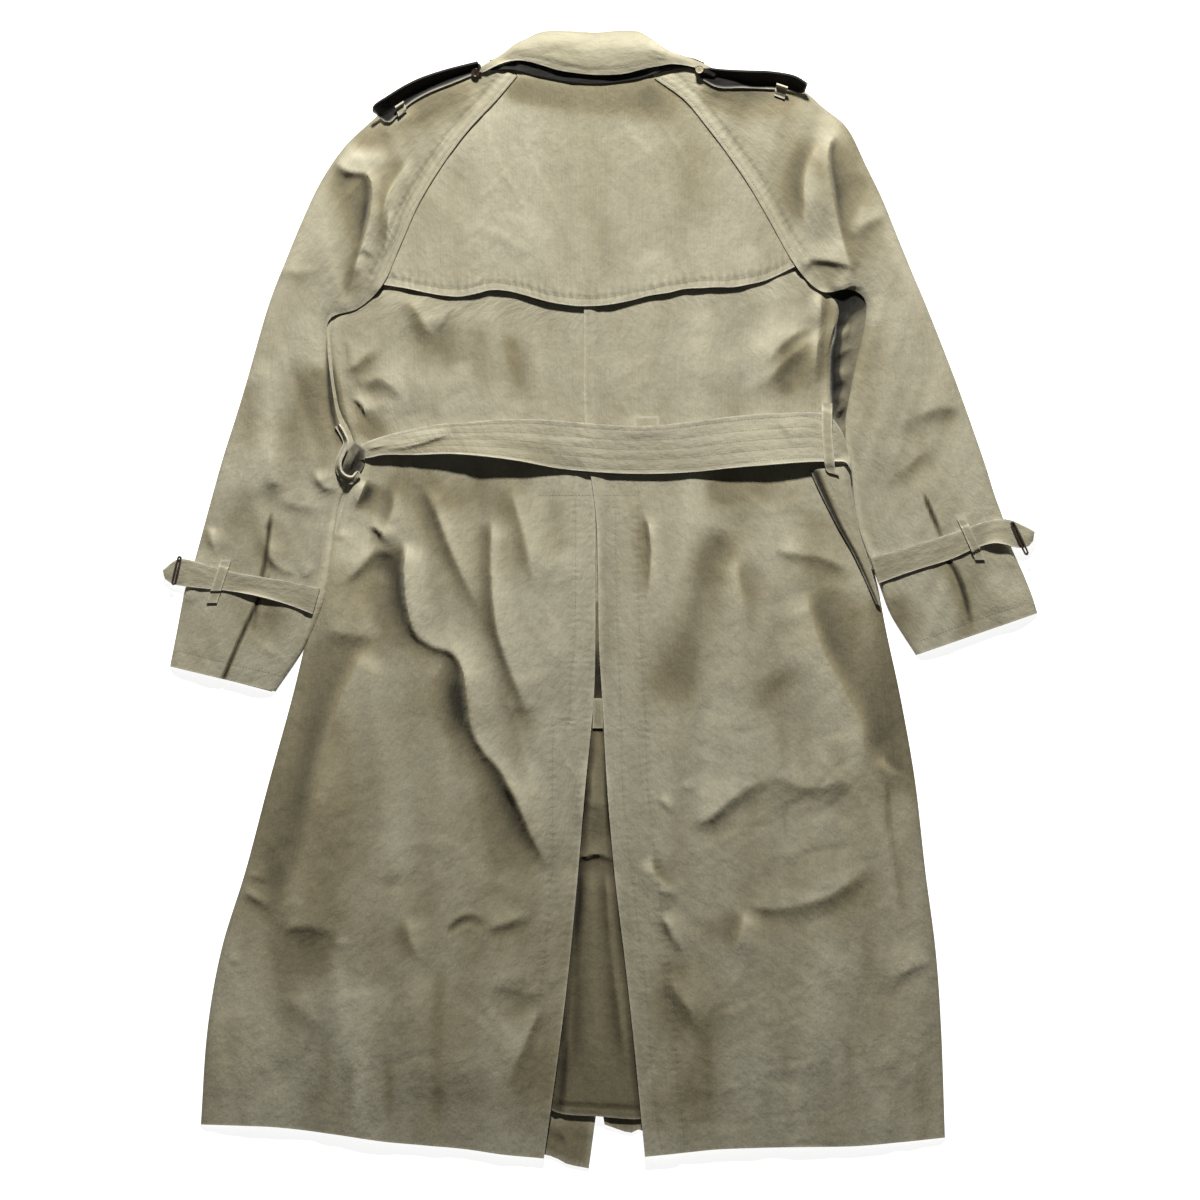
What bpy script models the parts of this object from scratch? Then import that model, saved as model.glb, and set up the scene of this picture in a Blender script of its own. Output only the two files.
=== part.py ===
"""A belted cotton trench coat, laid flat with its back up.

+Y runs from the hem to the collar, +X to the wearer's right, +Z up off the table. The
origin is on the table, under the middle of the coat. Tables are in millimetres.
"""
import math
from collections import namedtuple

import bmesh
import bpy
import numpy as np
from mathutils.bvhtree import BVHTree

MM = 0.001
CLOTH = 1.6           # coat cloth, shell and lining pressed together
DOUBLED = 2.6         # belt, straps, loops and collar: cloth folded on itself
GAP = 0.3             # air left between a piece and what it lies on
BUTTON_ACROSS = 26.0
SMALL_BUTTON_ACROSS = 16.0
BUTTON_THICK = 3.4
BUCKLE_BAR = 3.0

KHAKI = (0.66, 0.63, 0.52)
KHAKI_LIGHT = (0.74, 0.71, 0.60)
KHAKI_SHADE = (0.52, 0.49, 0.39)
HORN = (0.20, 0.13, 0.08)
LEATHER = (0.09, 0.06, 0.05)

# The two edges of a piece, where a cut across it meets them, and the height of its
# underside at the first edge, the middle and the second edge.
Cut = namedtuple("Cut", "first_x first_y second_x second_y first_z middle_z second_z")
# A fold in a piece: the line it follows, how far it rises (below 0, sinks), its reach.
Fold = namedtuple("Fold", "from_x from_y to_x to_y rise reach")

BACK_LEFT = [
    Cut(-13, 552, -88, 556, 9, 9, 9),
    Cut(-13, 487, -149, 491, 9, 10, 8),
    Cut(-13, 407, -201, 409, 9, 10, 8),
    Cut(-13, 334, -232, 337, 9, 9, 7),
    Cut(-13, 297, -286, 300, 8, 9, 3),
    Cut(-13, 257, -289, 257, 8, 9, 2),
    Cut(-13, 209, -282, 209, 8, 10, 2),
    Cut(-12, 171, -267, 171, 9, 9, 3),
    Cut(-9, 135, -263, 139, 9, 9, 3),
    Cut(-5, 92, -279, 92, 9, 12, 2),
    Cut(-5, 32, -295, 32, 9, 13, 2),
    Cut(-5, -43, -313, -37, 9, 13, 2),
    Cut(-7, -110, -330, -107, 8, 13, 2),
    Cut(-16, -203, -355, -198, 8, 12, 2),
    Cut(-24, -297, -379, -289, 7, 12, 2),
    Cut(-33, -391, -405, -374, 7, 11, 2),
    Cut(-44, -482, -420, -460, 7, 9, 2),
    Cut(-60, -597, -427, -561, 5, 6, 2),
]
BACK_RIGHT = [
    Cut(-17, 552, 58, 554, 9, 9, 9),
    Cut(-17, 492, 119, 498, 9, 10, 8),
    Cut(-17, 412, 174, 419, 9, 10, 8),
    Cut(-17, 353, 209, 357, 9, 9, 7),
    Cut(-17, 310, 254, 317, 8, 9, 3),
    Cut(-17, 265, 247, 265, 8, 9, 2),
    Cut(-17, 209, 249, 207, 8, 10, 2),
    Cut(-15, 171, 258, 171, 9, 9, 3),
    Cut(-10, 135, 266, 137, 9, 9, 3),
    Cut(-4, 86, 274, 86, 9, 12, 2),
    Cut(-2, 27, 294, 27, 9, 13, 2),
    Cut(-1, -43, 307, -37, 9, 13, 2),
    Cut(3, -118, 322, -107, 9, 13, 2),
    Cut(8, -204, 337, -193, 9, 12, 2),
    Cut(16, -297, 348, -289, 9, 12, 2),
    Cut(26, -380, 359, -374, 8, 11, 2),
    Cut(36, -471, 365, -460, 8, 9, 2),
    Cut(48, -596, 369, -574, 6, 6, 2),
]
STORM_FLAP = [
    Cut(-88, 559, 58, 556, 10, 11, 10),
    Cut(-112, 532, 89, 534, 10, 12, 10),
    Cut(-149, 491, 119, 498, 10, 13, 10),
    Cut(-177, 450, 150, 457, 10, 13, 10),
    Cut(-201, 409, 174, 419, 10, 14, 10),
    Cut(-218, 368, 191, 388, 10, 15, 10),
    Cut(-232, 337, 209, 357, 9, 16, 9),
]
SLEEVE_LEFT = [
    Cut(-88, 560, -124, 571, 9, 9, 6),
    Cut(-112, 532, -157, 561, 9, 10, 4),
    Cut(-141, 501, -189, 548, 9, 11, 3),
    Cut(-170, 462, -218, 535, 9, 12, 2),
    Cut(-194, 422, -246, 511, 9, 13, 2),
    Cut(-213, 379, -274, 484, 9, 13, 2),
    Cut(-232, 337, -299, 447, 9, 12, 2),
    Cut(-258, 312, -318, 407, 7, 11, 2),
    Cut(-288, 301, -335, 366, 4, 10, 2),
    Cut(-291, 273, -355, 314, 3, 10, 2),
    Cut(-282, 205, -380, 227, 2, 10, 2),
    Cut(-271, 171, -392, 188, 2, 10, 2),
    Cut(-269, 131, -404, 150, 2, 10, 2),
    Cut(-280, 91, -416, 107, 2, 10, 2),
    Cut(-300, 21, -434, 41, 2, 9, 2),
    Cut(-309, -14, -444, 11, 2, 8, 2),
    Cut(-327, -59, -452, -30, 2, 8, 2),
    Cut(-347, -98, -460, -71, 2, 7, 2),
]
SLEEVE_RIGHT = [
    Cut(58, 557, 105, 571, 9, 9, 6),
    Cut(89, 535, 137, 561, 9, 10, 4),
    Cut(112, 508, 175, 554, 9, 11, 3),
    Cut(135, 478, 209, 550, 9, 12, 2),
    Cut(159, 443, 240, 526, 9, 13, 2),
    Cut(180, 407, 265, 504, 9, 13, 2),
    Cut(208, 358, 285, 464, 9, 12, 2),
    Cut(236, 330, 302, 429, 8, 12, 2),
    Cut(266, 332, 319, 387, 6, 11, 2),
    Cut(283, 321, 335, 348, 5, 10, 2),
    Cut(283, 294, 351, 310, 4, 10, 2),
    Cut(271, 241, 381, 233, 4, 10, 2),
    Cut(261, 180, 409, 154, 4, 10, 2),
    Cut(267, 139, 422, 113, 3, 10, 2),
    Cut(273, 86, 431, 88, 2, 10, 2),
    Cut(285, 48, 439, 59, 2, 9, 2),
    Cut(298, 18, 452, 30, 2, 8, 2),
    Cut(311, -16, 462, 5, 2, 8, 2),
    Cut(338, -59, 468, -14, 2, 7, 2),
]
SLEEVE_RIGHT_UNDER = [
    Cut(58, 555, 104, 569, 0, 0, 0),
    Cut(112, 506, 173, 552, 0, 0, 0),
    Cut(159, 441, 238, 524, 0, 0, 0),
    Cut(208, 356, 283, 462, 0, 0, 0),
    Cut(238, 326, 300, 428, 0, 0, 0),
    Cut(250, 308, 318, 386, 0, 0, 0),
    Cut(251, 284, 334, 347, 0, 0, 0),
    Cut(246, 262, 350, 309, 0, 0, 0),
    Cut(246, 222, 379, 232, 0, 0, 0),
    Cut(250, 170, 407, 153, 0, 0, 0),
    Cut(264, 132, 420, 112, 0, 0, 0),
    Cut(274, 86, 429, 87, 0, 0, 0),
    Cut(286, 48, 437, 58, 0, 0, 0),
    Cut(299, 18, 450, 29, 0, 0, 0),
    Cut(312, -16, 460, 4, 0, 0, 0),
    Cut(339, -58, 466, -13, 0, 0, 0),
]
FRONT_LEFT = [
    Cut(-2, 492, -88, 546, 0, 0, 0),
    Cut(63, 455, -149, 491, 0, 0, 0),
    Cut(88, 396, -201, 409, 0, 0, 0),
    Cut(95, 332, -232, 337, 0, 0, 0),
    Cut(95, 278, -286, 300, 0, 0, 0),
    Cut(95, 214, -284, 241, 0, 0, 0),
    Cut(95, 171, -272, 186, 0, 0, 0),
    Cut(94, 128, -263, 139, 0, 0, 0),
    Cut(86, 43, -287, 64, 0, 0, 0),
    Cut(57, -171, -344, -160, 0, 0, 0),
    Cut(39, -278, -374, -268, 0, 0, 0),
    Cut(21, -385, -405, -374, 0, 0, 0),
    Cut(4, -492, -422, -482, 0, 0, 0),
    Cut(-12, -608, -426, -554, 0, 0, 0),
]
FRONT_RIGHT = [
    Cut(-12, 492, 58, 544, 0, 0, 0),
    Cut(-77, 455, 119, 498, 0, 0, 0),
    Cut(-100, 401, 174, 419, 0, 0, 0),
    Cut(-108, 342, 209, 357, 0, 0, 0),
    Cut(-109, 289, 252, 315, 0, 0, 0),
    Cut(-109, 235, 248, 265, 0, 0, 0),
    Cut(-109, 182, 249, 207, 0, 0, 0),
    Cut(-108, 128, 266, 137, 0, 0, 0),
    Cut(-100, 43, 281, 54, 0, 0, 0),
    Cut(-69, -171, 330, -160, 0, 0, 0),
    Cut(-49, -278, 345, -268, 0, 0, 0),
    Cut(-28, -385, 359, -374, 0, 0, 0),
    Cut(-8, -482, 366, -482, 0, 0, 0),
    Cut(5, -563, 369, -569, 0, 0, 0),
]
VENT_GUSSET = [
    Cut(-19, 0, 16, 0, 5, 5, 5),
    Cut(-23, -107, 22, -107, 5, 5, 5),
    Cut(-38, -268, 35, -268, 4, 5, 4),
    Cut(-54, -428, 50, -428, 4, 5, 4),
    Cut(-66, -548, 63, -538, 3, 4, 3),
]
BELT_BACK = [
    Cut(-256, 160, -256, 151, 8, 8, 8),
    Cut(-241, 173, -234, 156, 9, 10, 11),
    Cut(-216, 179, -196, 155, 11, 12, 14),
    Cut(-178, 187, -159, 156, 12, 13, 16),
    Cut(-141, 190, -121, 153, 12, 14, 17),
    Cut(-103, 193, -84, 148, 12, 14, 17),
    Cut(-66, 193, -47, 141, 12, 13, 15),
    Cut(-28, 190, -9, 137, 12, 13, 13),
    Cut(10, 187, 28, 135, 13, 13, 12),
    Cut(47, 186, 66, 135, 13, 13, 12),
    Cut(85, 189, 103, 137, 12, 13, 14),
    Cut(123, 194, 141, 141, 12, 14, 17),
    Cut(160, 198, 178, 144, 12, 14, 17),
    Cut(197, 200, 216, 147, 12, 13, 15),
    Cut(239, 199, 249, 148, 11, 12, 12),
    Cut(257, 182, 262, 147, 7, 8, 8),
    Cut(266, 158, 268, 139, 5, 5, 5),
]
BELT_TURN = [
    Cut(-271, 168, -271, 144, 10, 12, 12),
    Cut(-257, 174, -257, 133, 13, 19, 16),
    Cut(-241, 171, -240, 137, 12, 17, 14),
]
BELT_FRONT = [
    Cut(-262, 179, -262, 133, 0, 0, 0),
    Cut(-141, 178, -141, 128, 0, 0, 0),
    Cut(-2, 175, -2, 126, 0, 0, 0),
    Cut(137, 178, 137, 128, 0, 0, 0),
    Cut(258, 180, 258, 133, 0, 0, 0),
]
BELT_LOOP_LEFT = [
    Cut(-280, 185, -273, 184, 8, 9, 8),
    Cut(-283, 160, -276, 160, 8, 10, 8),
    Cut(-280, 139, -270, 143, 8, 10, 8),
    Cut(-268, 128, -257, 136, 6, 8, 6),
]
BELT_LOOP_RIGHT = [
    Cut(237, 211, 248, 210, 10, 10, 10),
    Cut(237, 177, 248, 177, 10, 10, 10),
    Cut(240, 143, 251, 140, 10, 10, 10),
    Cut(244, 136, 255, 133, 8, 8, 8),
]
BELT_LOOP_CENTRE = [
    Cut(37, 196, 63, 196, 9, 9, 9),
    Cut(37, 182, 63, 182, 9, 9, 9),
]
SIDE_PLEAT = [
    Cut(232, 141, 264, 143, 9, 12, 8),
    Cut(242, 118, 269, 116, 10, 13, 8),
    Cut(266, 70, 283, 59, 9, 11, 7),
    Cut(292, 2, 300, -4, 6, 7, 5),
]
CUFF_STRAP_LEFT = [
    Cut(-468, 32, -465, 22, 3, 3, 3),
    Cut(-448, 44, -453, 16, 6, 6, 6),
    Cut(-411, 35, -419, 12, 10, 11, 12),
    Cut(-387, 29, -399, 10, 11, 12, 13),
    Cut(-348, 22, -369, 5, 12, 13, 14),
    Cut(-318, 17, -333, -5, 9, 10, 11),
    Cut(-301, 13, -309, -15, 6, 6, 6),
]
CUFF_STRAP_RIGHT = [
    Cut(465, 73, 463, 63, 5, 5, 5),
    Cut(454, 79, 457, 57, 7, 8, 7),
    Cut(436, 86, 446, 56, 8, 9, 9),
    Cut(416, 85, 422, 61, 10, 11, 13),
    Cut(389, 76, 398, 54, 12, 13, 15),
    Cut(362, 67, 373, 43, 12, 13, 15),
    Cut(325, 55, 334, 31, 9, 11, 12),
    Cut(289, 46, 298, 18, 6, 6, 6),
]
COLLAR_FALL = [
    Cut(-105, 584, -102, 578, 8, 9, 9),
    Cut(-91, 594, -87, 577, 8, 17, 15),
    Cut(-78, 600, -74, 574, 8, 22, 17),
    Cut(-65, 606, -57, 569, 8, 25, 18),
    Cut(-48, 608, -44, 565, 8, 27, 18),
    Cut(-23, 607, -26, 562, 8, 28, 18),
    Cut(-3, 606, -3, 560, 8, 28, 18),
    Cut(21, 608, 24, 561, 8, 28, 18),
    Cut(41, 607, 49, 567, 8, 27, 18),
    Cut(57, 598, 65, 570, 8, 23, 17),
    Cut(72, 588, 79, 572, 8, 18, 15),
    Cut(97, 578, 98, 571, 8, 9, 9),
]
COLLAR_STAND = [
    Cut(-91, 582, -89, 552, 6, 9, 9),
    Cut(-60, 595, -60, 546, 5, 11, 9),
    Cut(-12, 597, -12, 541, 5, 12, 9),
    Cut(36, 597, 39, 546, 5, 11, 9),
    Cut(71, 580, 63, 552, 6, 9, 9),
]
COLLAR_LEAF_LEFT = [
    Cut(-98, 584, -128, 569, 3, 4, 3),
    Cut(-66, 567, -124, 537, 1, 1, 1),
    Cut(-34, 524, -103, 492, 0, 0, 0),
    Cut(-12, 471, -66, 452, 0, 0, 0),
]
COLLAR_LEAF_RIGHT = [
    Cut(95, 578, 122, 567, 3, 4, 3),
    Cut(63, 567, 114, 535, 1, 1, 1),
    Cut(30, 524, 98, 492, 0, 0, 0),
    Cut(11, 471, 63, 452, 0, 0, 0),
]
EPAULETTE_LEFT = [
    Cut(-126, 567, -126, 575, 13, 17, 21),
    Cut(-145, 561, -146, 571, 13, 20, 26),
    Cut(-167, 551, -167, 565, 13, 22, 30),
    Cut(-198, 536, -203, 553, 14, 23, 32),
    Cut(-216, 523, -220, 542, 14, 24, 33),
    Cut(-234, 509, -240, 523, 15, 23, 30),
]
EPAULETTE_RIGHT = [
    Cut(105, 546, 111, 567, 13, 19, 23),
    Cut(139, 547, 149, 564, 13, 21, 28),
    Cut(171, 549, 175, 563, 13, 22, 31),
    Cut(187, 547, 191, 563, 14, 23, 32),
    Cut(202, 544, 207, 560, 14, 23, 32),
    Cut(221, 541, 222, 550, 14, 20, 26),
]
KEEPER_LEFT = [
    Cut(-221, 524, -226, 537, 18, 24, 31),
    Cut(-211, 518, -215, 533, 18, 24, 31),
]
KEEPER_RIGHT = [
    Cut(187, 543, 190, 557, 18, 24, 31),
    Cut(197, 539, 201, 553, 18, 24, 31),
]

BACK_LEFT_FOLDS = [
    Fold(-143, 280, -108, 210, -4, 26),
    Fold(-221, 70, -205, -30, -7, 24),
    Fold(-204, -36, -155, -48, -8, 22),
    Fold(-155, -48, -133, -153, -8, 24),
    Fold(-133, -153, -83, -246, -7, 26),
    Fold(-83, -246, -56, -300, -5, 24),
    Fold(-190, 60, -172, 0, 5, 26),
    Fold(-125, -60, -95, -160, 6, 28),
    Fold(-177, 117, -133, -4, 4, 22),
    Fold(-111, 66, -67, -4, -4, 20),
    Fold(-276, -10, -309, -241, -7, 30),
    Fold(-309, -241, -390, -380, -6, 30),
    Fold(-235, -60, -262, -300, 5, 40),
    Fold(-160, -362, -56, -328, -4, 24),
    Fold(-150, -430, -170, -590, 4, 36),
    Fold(-300, -430, -320, -580, 3, 36),
]
BACK_RIGHT_FOLDS = [
    Fold(230, 291, 191, 265, -4, 24),
    Fold(191, 265, 161, 210, -4, 24),
    Fold(142, 61, 87, -114, -6, 30),
    Fold(45, 89, 49, -10, -4, 22),
    Fold(190, 50, 175, -110, 5, 34),
    Fold(224, 6, 257, -104, -7, 28),
    Fold(257, -104, 317, -186, -7, 28),
    Fold(109, -235, 164, -202, -5, 24),
    Fold(164, -202, 273, -186, -5, 24),
    Fold(65, -339, 82, -422, -6, 24),
    Fold(82, -422, 109, -462, -5, 24),
    Fold(152, -323, 208, -334, -5, 24),
    Fold(208, -334, 290, -290, -5, 24),
    Fold(105, -300, 130, -420, 4, 30),
    Fold(240, -400, 250, -590, 4, 40),
    Fold(140, -450, 150, -590, 3, 30),
]
FLAP_FOLDS = [
    Fold(-143, 470, -143, 400, -2, 30),
    Fold(118, 480, 118, 410, -2, 30),
    Fold(-170, 340, -150, 300, 5, 34),
    Fold(-70, 330, -72, 290, 4, 36),
    Fold(20, 320, 20, 280, 3, 36),
    Fold(110, 330, 108, 290, 5, 34),
    Fold(170, 350, 180, 320, 4, 26),
]
SLEEVE_LEFT_FOLDS = [
    Fold(-243, 452, -258, 377, -6, 20),
    Fold(-258, 377, -267, 321, -5, 20),
    Fold(-276, 475, -177, 505, -3, 20),
    Fold(-365, 175, -362, 70, -4, 22),
    Fold(-330, 200, -325, 90, 3, 26),
    Fold(-400, 60, -380, -60, 3, 26),
]
SLEEVE_RIGHT_FOLDS = [
    Fold(217, 449, 215, 364, -5, 18),
    Fold(242, 479, 255, 381, 4, 20),
    Fold(392, 204, 334, 177, -4, 20),
    Fold(366, 140, 280, 85, -5, 24),
    Fold(350, 60, 370, -30, 3, 26),
]

# The table raster that remembers how high the pieces already laid reach.
RASTER_CELL = 2.0
RASTER_X = 500.0
RASTER_Y = 640.0
laid_height = np.zeros((int(2 * RASTER_X / RASTER_CELL), int(2 * RASTER_Y / RASTER_CELL)))
laid_corners = []     # triangles of the pieces already laid
SETTLE_STEP = 0.2
SETTLE_STEPS = 40

materials = {}


def clear_scene():
    for thing in list(bpy.data.objects):
        bpy.data.objects.remove(thing, do_unlink=True)


def finish_material(name, colour, roughness, metallic=0.0):
    if name not in materials:
        material = bpy.data.materials.new(name)
        material.use_nodes = True
        shader = material.node_tree.nodes["Principled BSDF"]
        shader.inputs["Base Color"].default_value = [channel ** 2.2 for channel in colour] + [1.0]
        shader.inputs["Roughness"].default_value = roughness
        shader.inputs["Metallic"].default_value = metallic
        material.diffuse_color = [*colour, 1.0]
        materials[name] = material
    return materials[name]


def cloth_material(tone=KHAKI):
    names = {KHAKI: "khaki_cloth", KHAKI_LIGHT: "khaki_cloth_light", KHAKI_SHADE: "khaki_cloth_shade"}
    return finish_material(names[tone], tone, 0.85)


def remember(corners):
    """Mark the raster with triangles, corners[triangle, corner, axis] in millimetres."""
    longest = np.abs(corners - np.roll(corners, 1, axis=1))[:, :, :2].max()
    steps = max(2, math.ceil(longest / (0.8 * RASTER_CELL)))
    weights = [(i / steps, j / steps) for i in range(steps + 1) for j in range(steps + 1 - i)]
    along, across = np.array(weights).T
    origin = corners[:, None, 0]
    points = origin + along[None, :, None] * (corners[:, None, 1] - origin)
    points = (points + across[None, :, None] * (corners[:, None, 2] - origin)).reshape(-1, 3)
    column = ((points[:, 0] + RASTER_X) / RASTER_CELL).astype(int)
    row = ((points[:, 1] + RASTER_Y) / RASTER_CELL).astype(int)
    np.maximum.at(laid_height, (column, row), points[:, 2])


def highest_within(reach_x, reach_y):
    """The raster with each cell raised to the highest cell within reach, in millimetres."""
    result = laid_height
    for axis, reach in enumerate((reach_x, reach_y)):
        widest = result
        for shift in range(1, math.ceil(reach / RASTER_CELL) + 2):
            widest = np.maximum(widest, np.roll(result, shift, axis))
            widest = np.maximum(widest, np.roll(result, -shift, axis))
        result = widest
    return result


def rest_height(points, reach_x, reach_y):
    """Lowest height at each (x, y) that clears what lies within reach of it."""
    raster = highest_within(reach_x, reach_y)
    column = ((points[..., 0] + RASTER_X) / RASTER_CELL).astype(int)
    row = ((points[..., 1] + RASTER_Y) / RASTER_CELL).astype(int)
    below = raster[column, row]
    return np.where(below > 0, below + GAP, 0.0)


def smooth_rows(cuts, count):
    """Catmull-Rom through the cuts, evenly spaced by the distance their middles travel."""
    table = np.array(cuts, dtype=float)
    middles = (table[:, 0:2] + table[:, 2:4]) / 2
    travelled = np.concatenate([[0], np.cumsum(np.hypot(*np.diff(middles, axis=0).T))])
    padded = np.vstack([2 * table[0] - table[1], table, 2 * table[-1] - table[-2]])
    rows = []
    for distance in np.linspace(0, travelled[-1], count + 1):
        span = min(np.searchsorted(travelled, distance, side="right") - 1, len(table) - 2)
        t = (distance - travelled[span]) / (travelled[span + 1] - travelled[span])
        a, b, c, d = padded[span:span + 4]
        curve = 2 * b + (c - a) * t + (2 * a - 5 * b + 4 * c - d) * t ** 2
        rows.append((curve + (3 * b - 3 * c + d - a) * t ** 3) / 2)
    return np.array(rows)


def fold_height(x, y, folds):
    height = np.zeros_like(x)
    for fold in folds:
        run_x, run_y = fold.to_x - fold.from_x, fold.to_y - fold.from_y
        along = (x - fold.from_x) * run_x + (y - fold.from_y) * run_y
        along = np.clip(along / (run_x ** 2 + run_y ** 2), 0, 1)
        away = np.hypot(x - fold.from_x - along * run_x, y - fold.from_y - along * run_y)
        height += fold.rise * np.clip(1 - (away / fold.reach) ** 2, 0, 1) ** 2
    return height


def cloth_grid(cuts, rows, columns, folds, belly):
    """Points of a piece's underside before it is laid; belly bows its last edge out."""
    sections = smooth_rows(cuts, rows)[:, None, :]
    across = np.linspace(0, 1, columns + 1)[None, :]
    x = sections[..., 0] + (sections[..., 2] - sections[..., 0]) * across
    y = sections[..., 1] + (sections[..., 3] - sections[..., 1]) * across
    down = np.linspace(0, 1, rows + 1)[:, None]
    y = y - belly * down ** 2 * 4 * across * (1 - across)
    first, middle, second = sections[..., 4], sections[..., 5], sections[..., 6]
    z = middle + (first - middle) * np.clip(1 - 2 * across, 0, 1) ** 3
    z = z + (second - middle) * np.clip(2 * across - 1, 0, 1) ** 3
    return np.stack([x, y, z + fold_height(x, y, folds)], axis=-1)


def settle(points, faces):
    """Lower a piece in small steps until it all but meets what it lies on, or the table."""
    if not laid_corners:
        return points
    corners = np.concatenate(laid_corners)
    below = BVHTree.FromPolygons(corners.reshape(-1, 3).tolist(),
                                 np.arange(len(corners) * 3).reshape(-1, 3).tolist())
    drop = 0.0
    for step in range(1, SETTLE_STEPS):
        trial = step * SETTLE_STEP
        lowered = points - np.array([0, 0, trial + GAP])
        if lowered[:, 2].min() < 0 or below.overlap(BVHTree.FromPolygons(lowered.tolist(), faces)):
            break
        drop = trial
    return points - np.array([0, 0, drop])


def add_mesh(name, points, faces, material):
    """Settle a piece, keep it for the pieces that will lie on it, and make its object."""
    points = settle(np.asarray(points, dtype=float), faces)
    triangles = [[face[0], face[k], face[k + 1]] for face in faces for k in range(1, len(face) - 1)]
    laid_corners.append(points[np.array(triangles)])
    remember(points[np.array(triangles)])
    mesh = bpy.data.meshes.new(name)
    mesh.from_pydata((points * MM).tolist(), [], faces)
    work = bmesh.new()
    work.from_mesh(mesh)
    bmesh.ops.recalc_face_normals(work, faces=work.faces)
    work.to_mesh(mesh)
    work.free()
    mesh.materials.append(material)
    mesh.shade_smooth()
    mesh.set_sharp_from_angle(angle=math.radians(40))
    piece = bpy.data.objects.new(name, mesh)
    bpy.context.scene.collection.objects.link(piece)
    return piece


def lay_cloth(name, cuts, rows, columns, folds=(), thick=CLOTH, belly=0.0, tone=KHAKI):
    """Lay a closed wall of cloth on what is already there, following its own form."""
    under = cloth_grid(cuts, rows, columns, folds, belly)
    reach = [max(np.abs(np.diff(under[..., k], axis=axis)).max() for axis in (0, 1)) for k in (0, 1)]
    under[..., 2] = np.maximum(under[..., 2], rest_height(under, *reach))
    over = under.copy()
    over[..., 2] += thick
    count = (rows + 1) * (columns + 1)
    index = np.arange(count).reshape(rows + 1, columns + 1)
    near, right = index[:-1, :-1].ravel(), index[:-1, 1:].ravel()
    far, cross = index[1:, :-1].ravel(), index[1:, 1:].ravel()
    top = np.concatenate([np.stack([near, right, cross], 1), np.stack([near, cross, far], 1)])
    rim = np.concatenate([index[0], index[1:, -1], index[-1, -2::-1], index[-2:0:-1, 0]])
    ahead = np.roll(rim, -1)
    side = np.stack([rim, ahead, ahead + count, rim + count], 1)
    faces = (top + count).tolist() + top[:, ::-1].tolist() + side.tolist()
    points = np.vstack([under.reshape(-1, 3), over.reshape(-1, 3)])
    return add_mesh(name, points, faces, cloth_material(tone))


def lay_button(name, x, y, across, material_name="horn_button", colour=HORN):
    """A turned button with a raised rim, resting on what lies under it."""
    radius = across / 2
    base = float(rest_height(np.array([[x, y]]), radius, radius)[0])
    turned = [
        (0.78 * radius, 0.0),
        (radius, 0.35 * BUTTON_THICK),
        (radius, 0.75 * BUTTON_THICK),
        (0.9 * radius, BUTTON_THICK),
        (0.72 * radius, BUTTON_THICK),
        (0.6 * radius, 0.7 * BUTTON_THICK),
    ]
    sides = 20
    points = []
    for r, z in turned:
        for k in range(sides):
            angle = 2 * math.pi * k / sides
            points.append((x + r * math.cos(angle), y + r * math.sin(angle), base + z))
    faces = [list(range(sides))[::-1], [(len(turned) - 1) * sides + k for k in range(sides)]]
    for ring in range(len(turned) - 1):
        for k in range(sides):
            a, b = ring * sides + k, ring * sides + (k + 1) % sides
            faces.append([a, b, b + sides, a + sides])
    return add_mesh(name, points, faces, finish_material(material_name, colour, 0.35))


def lay_frame(name, x, y, width, length, bar, thick):
    """A rectangular buckle frame flat on the table, its middle at x, y."""
    corners = [(x - width / 2, y - length / 2), (x + width / 2, y - length / 2),
               (x + width / 2, y + length / 2), (x - width / 2, y + length / 2)]
    inner = [(cx + math.copysign(bar, x - cx), cy + math.copysign(bar, y - cy)) for cx, cy in corners]
    points = [(*corner, lift) for lift in (0.0, thick) for corner in corners + inner]
    faces = []
    for k in range(4):
        ahead = (k + 1) % 4
        faces.append([k, ahead, ahead + 4, k + 4])
        faces.append([k + 12, ahead + 12, ahead + 8, k + 8])
        faces.append([k + 8, ahead + 8, ahead, k])
        faces.append([k + 4, ahead + 4, ahead + 12, k + 12])
    return add_mesh(name, points, faces, finish_material("buckle_leather", LEATHER, 0.45))


def lay_front_trim():
    """What lies between the coat's front and the table: buttons, belt, buckle, collar ends."""
    for number in range(8):
        row, side = divmod(number, 2)
        y = (380.0, 308.0, 236.0, 66.0)[row]
        lay_button(f"front_button_{number + 1}", -62.0 + 124.0 * side, y, BUTTON_ACROSS)
    lay_frame("belt_buckle", 10.0, 151.0, 46.0, 64.0, 6.0, BUCKLE_BAR)
    lay_cloth("belt_front", BELT_FRONT, 24, 2, thick=DOUBLED, tone=KHAKI_SHADE)
    lay_cloth("collar_leaf_left", COLLAR_LEAF_LEFT, 5, 4, thick=DOUBLED, tone=KHAKI_LIGHT)
    lay_cloth("collar_leaf_right", COLLAR_LEAF_RIGHT, 5, 4, thick=DOUBLED, tone=KHAKI_LIGHT)


def lay_cuff_unders():
    """The half of each cuff strap that passes under the sleeve."""
    left = [Cut(-434, 38, -440, 14, 0, 0, 0), Cut(-375, 24, -388, 0, 0, 0, 0), Cut(-316, 8, -324, -16, 0, 0, 0)]
    right = [Cut(426, 76, 434, 50, 0, 0, 0), Cut(366, 62, 376, 36, 0, 0, 0), Cut(304, 36, 312, 10, 0, 0, 0)]
    lay_cloth("cuff_strap_under_left", left, 4, 1, thick=DOUBLED)
    lay_cloth("cuff_strap_under_right", right, 4, 1, thick=DOUBLED)


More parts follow.
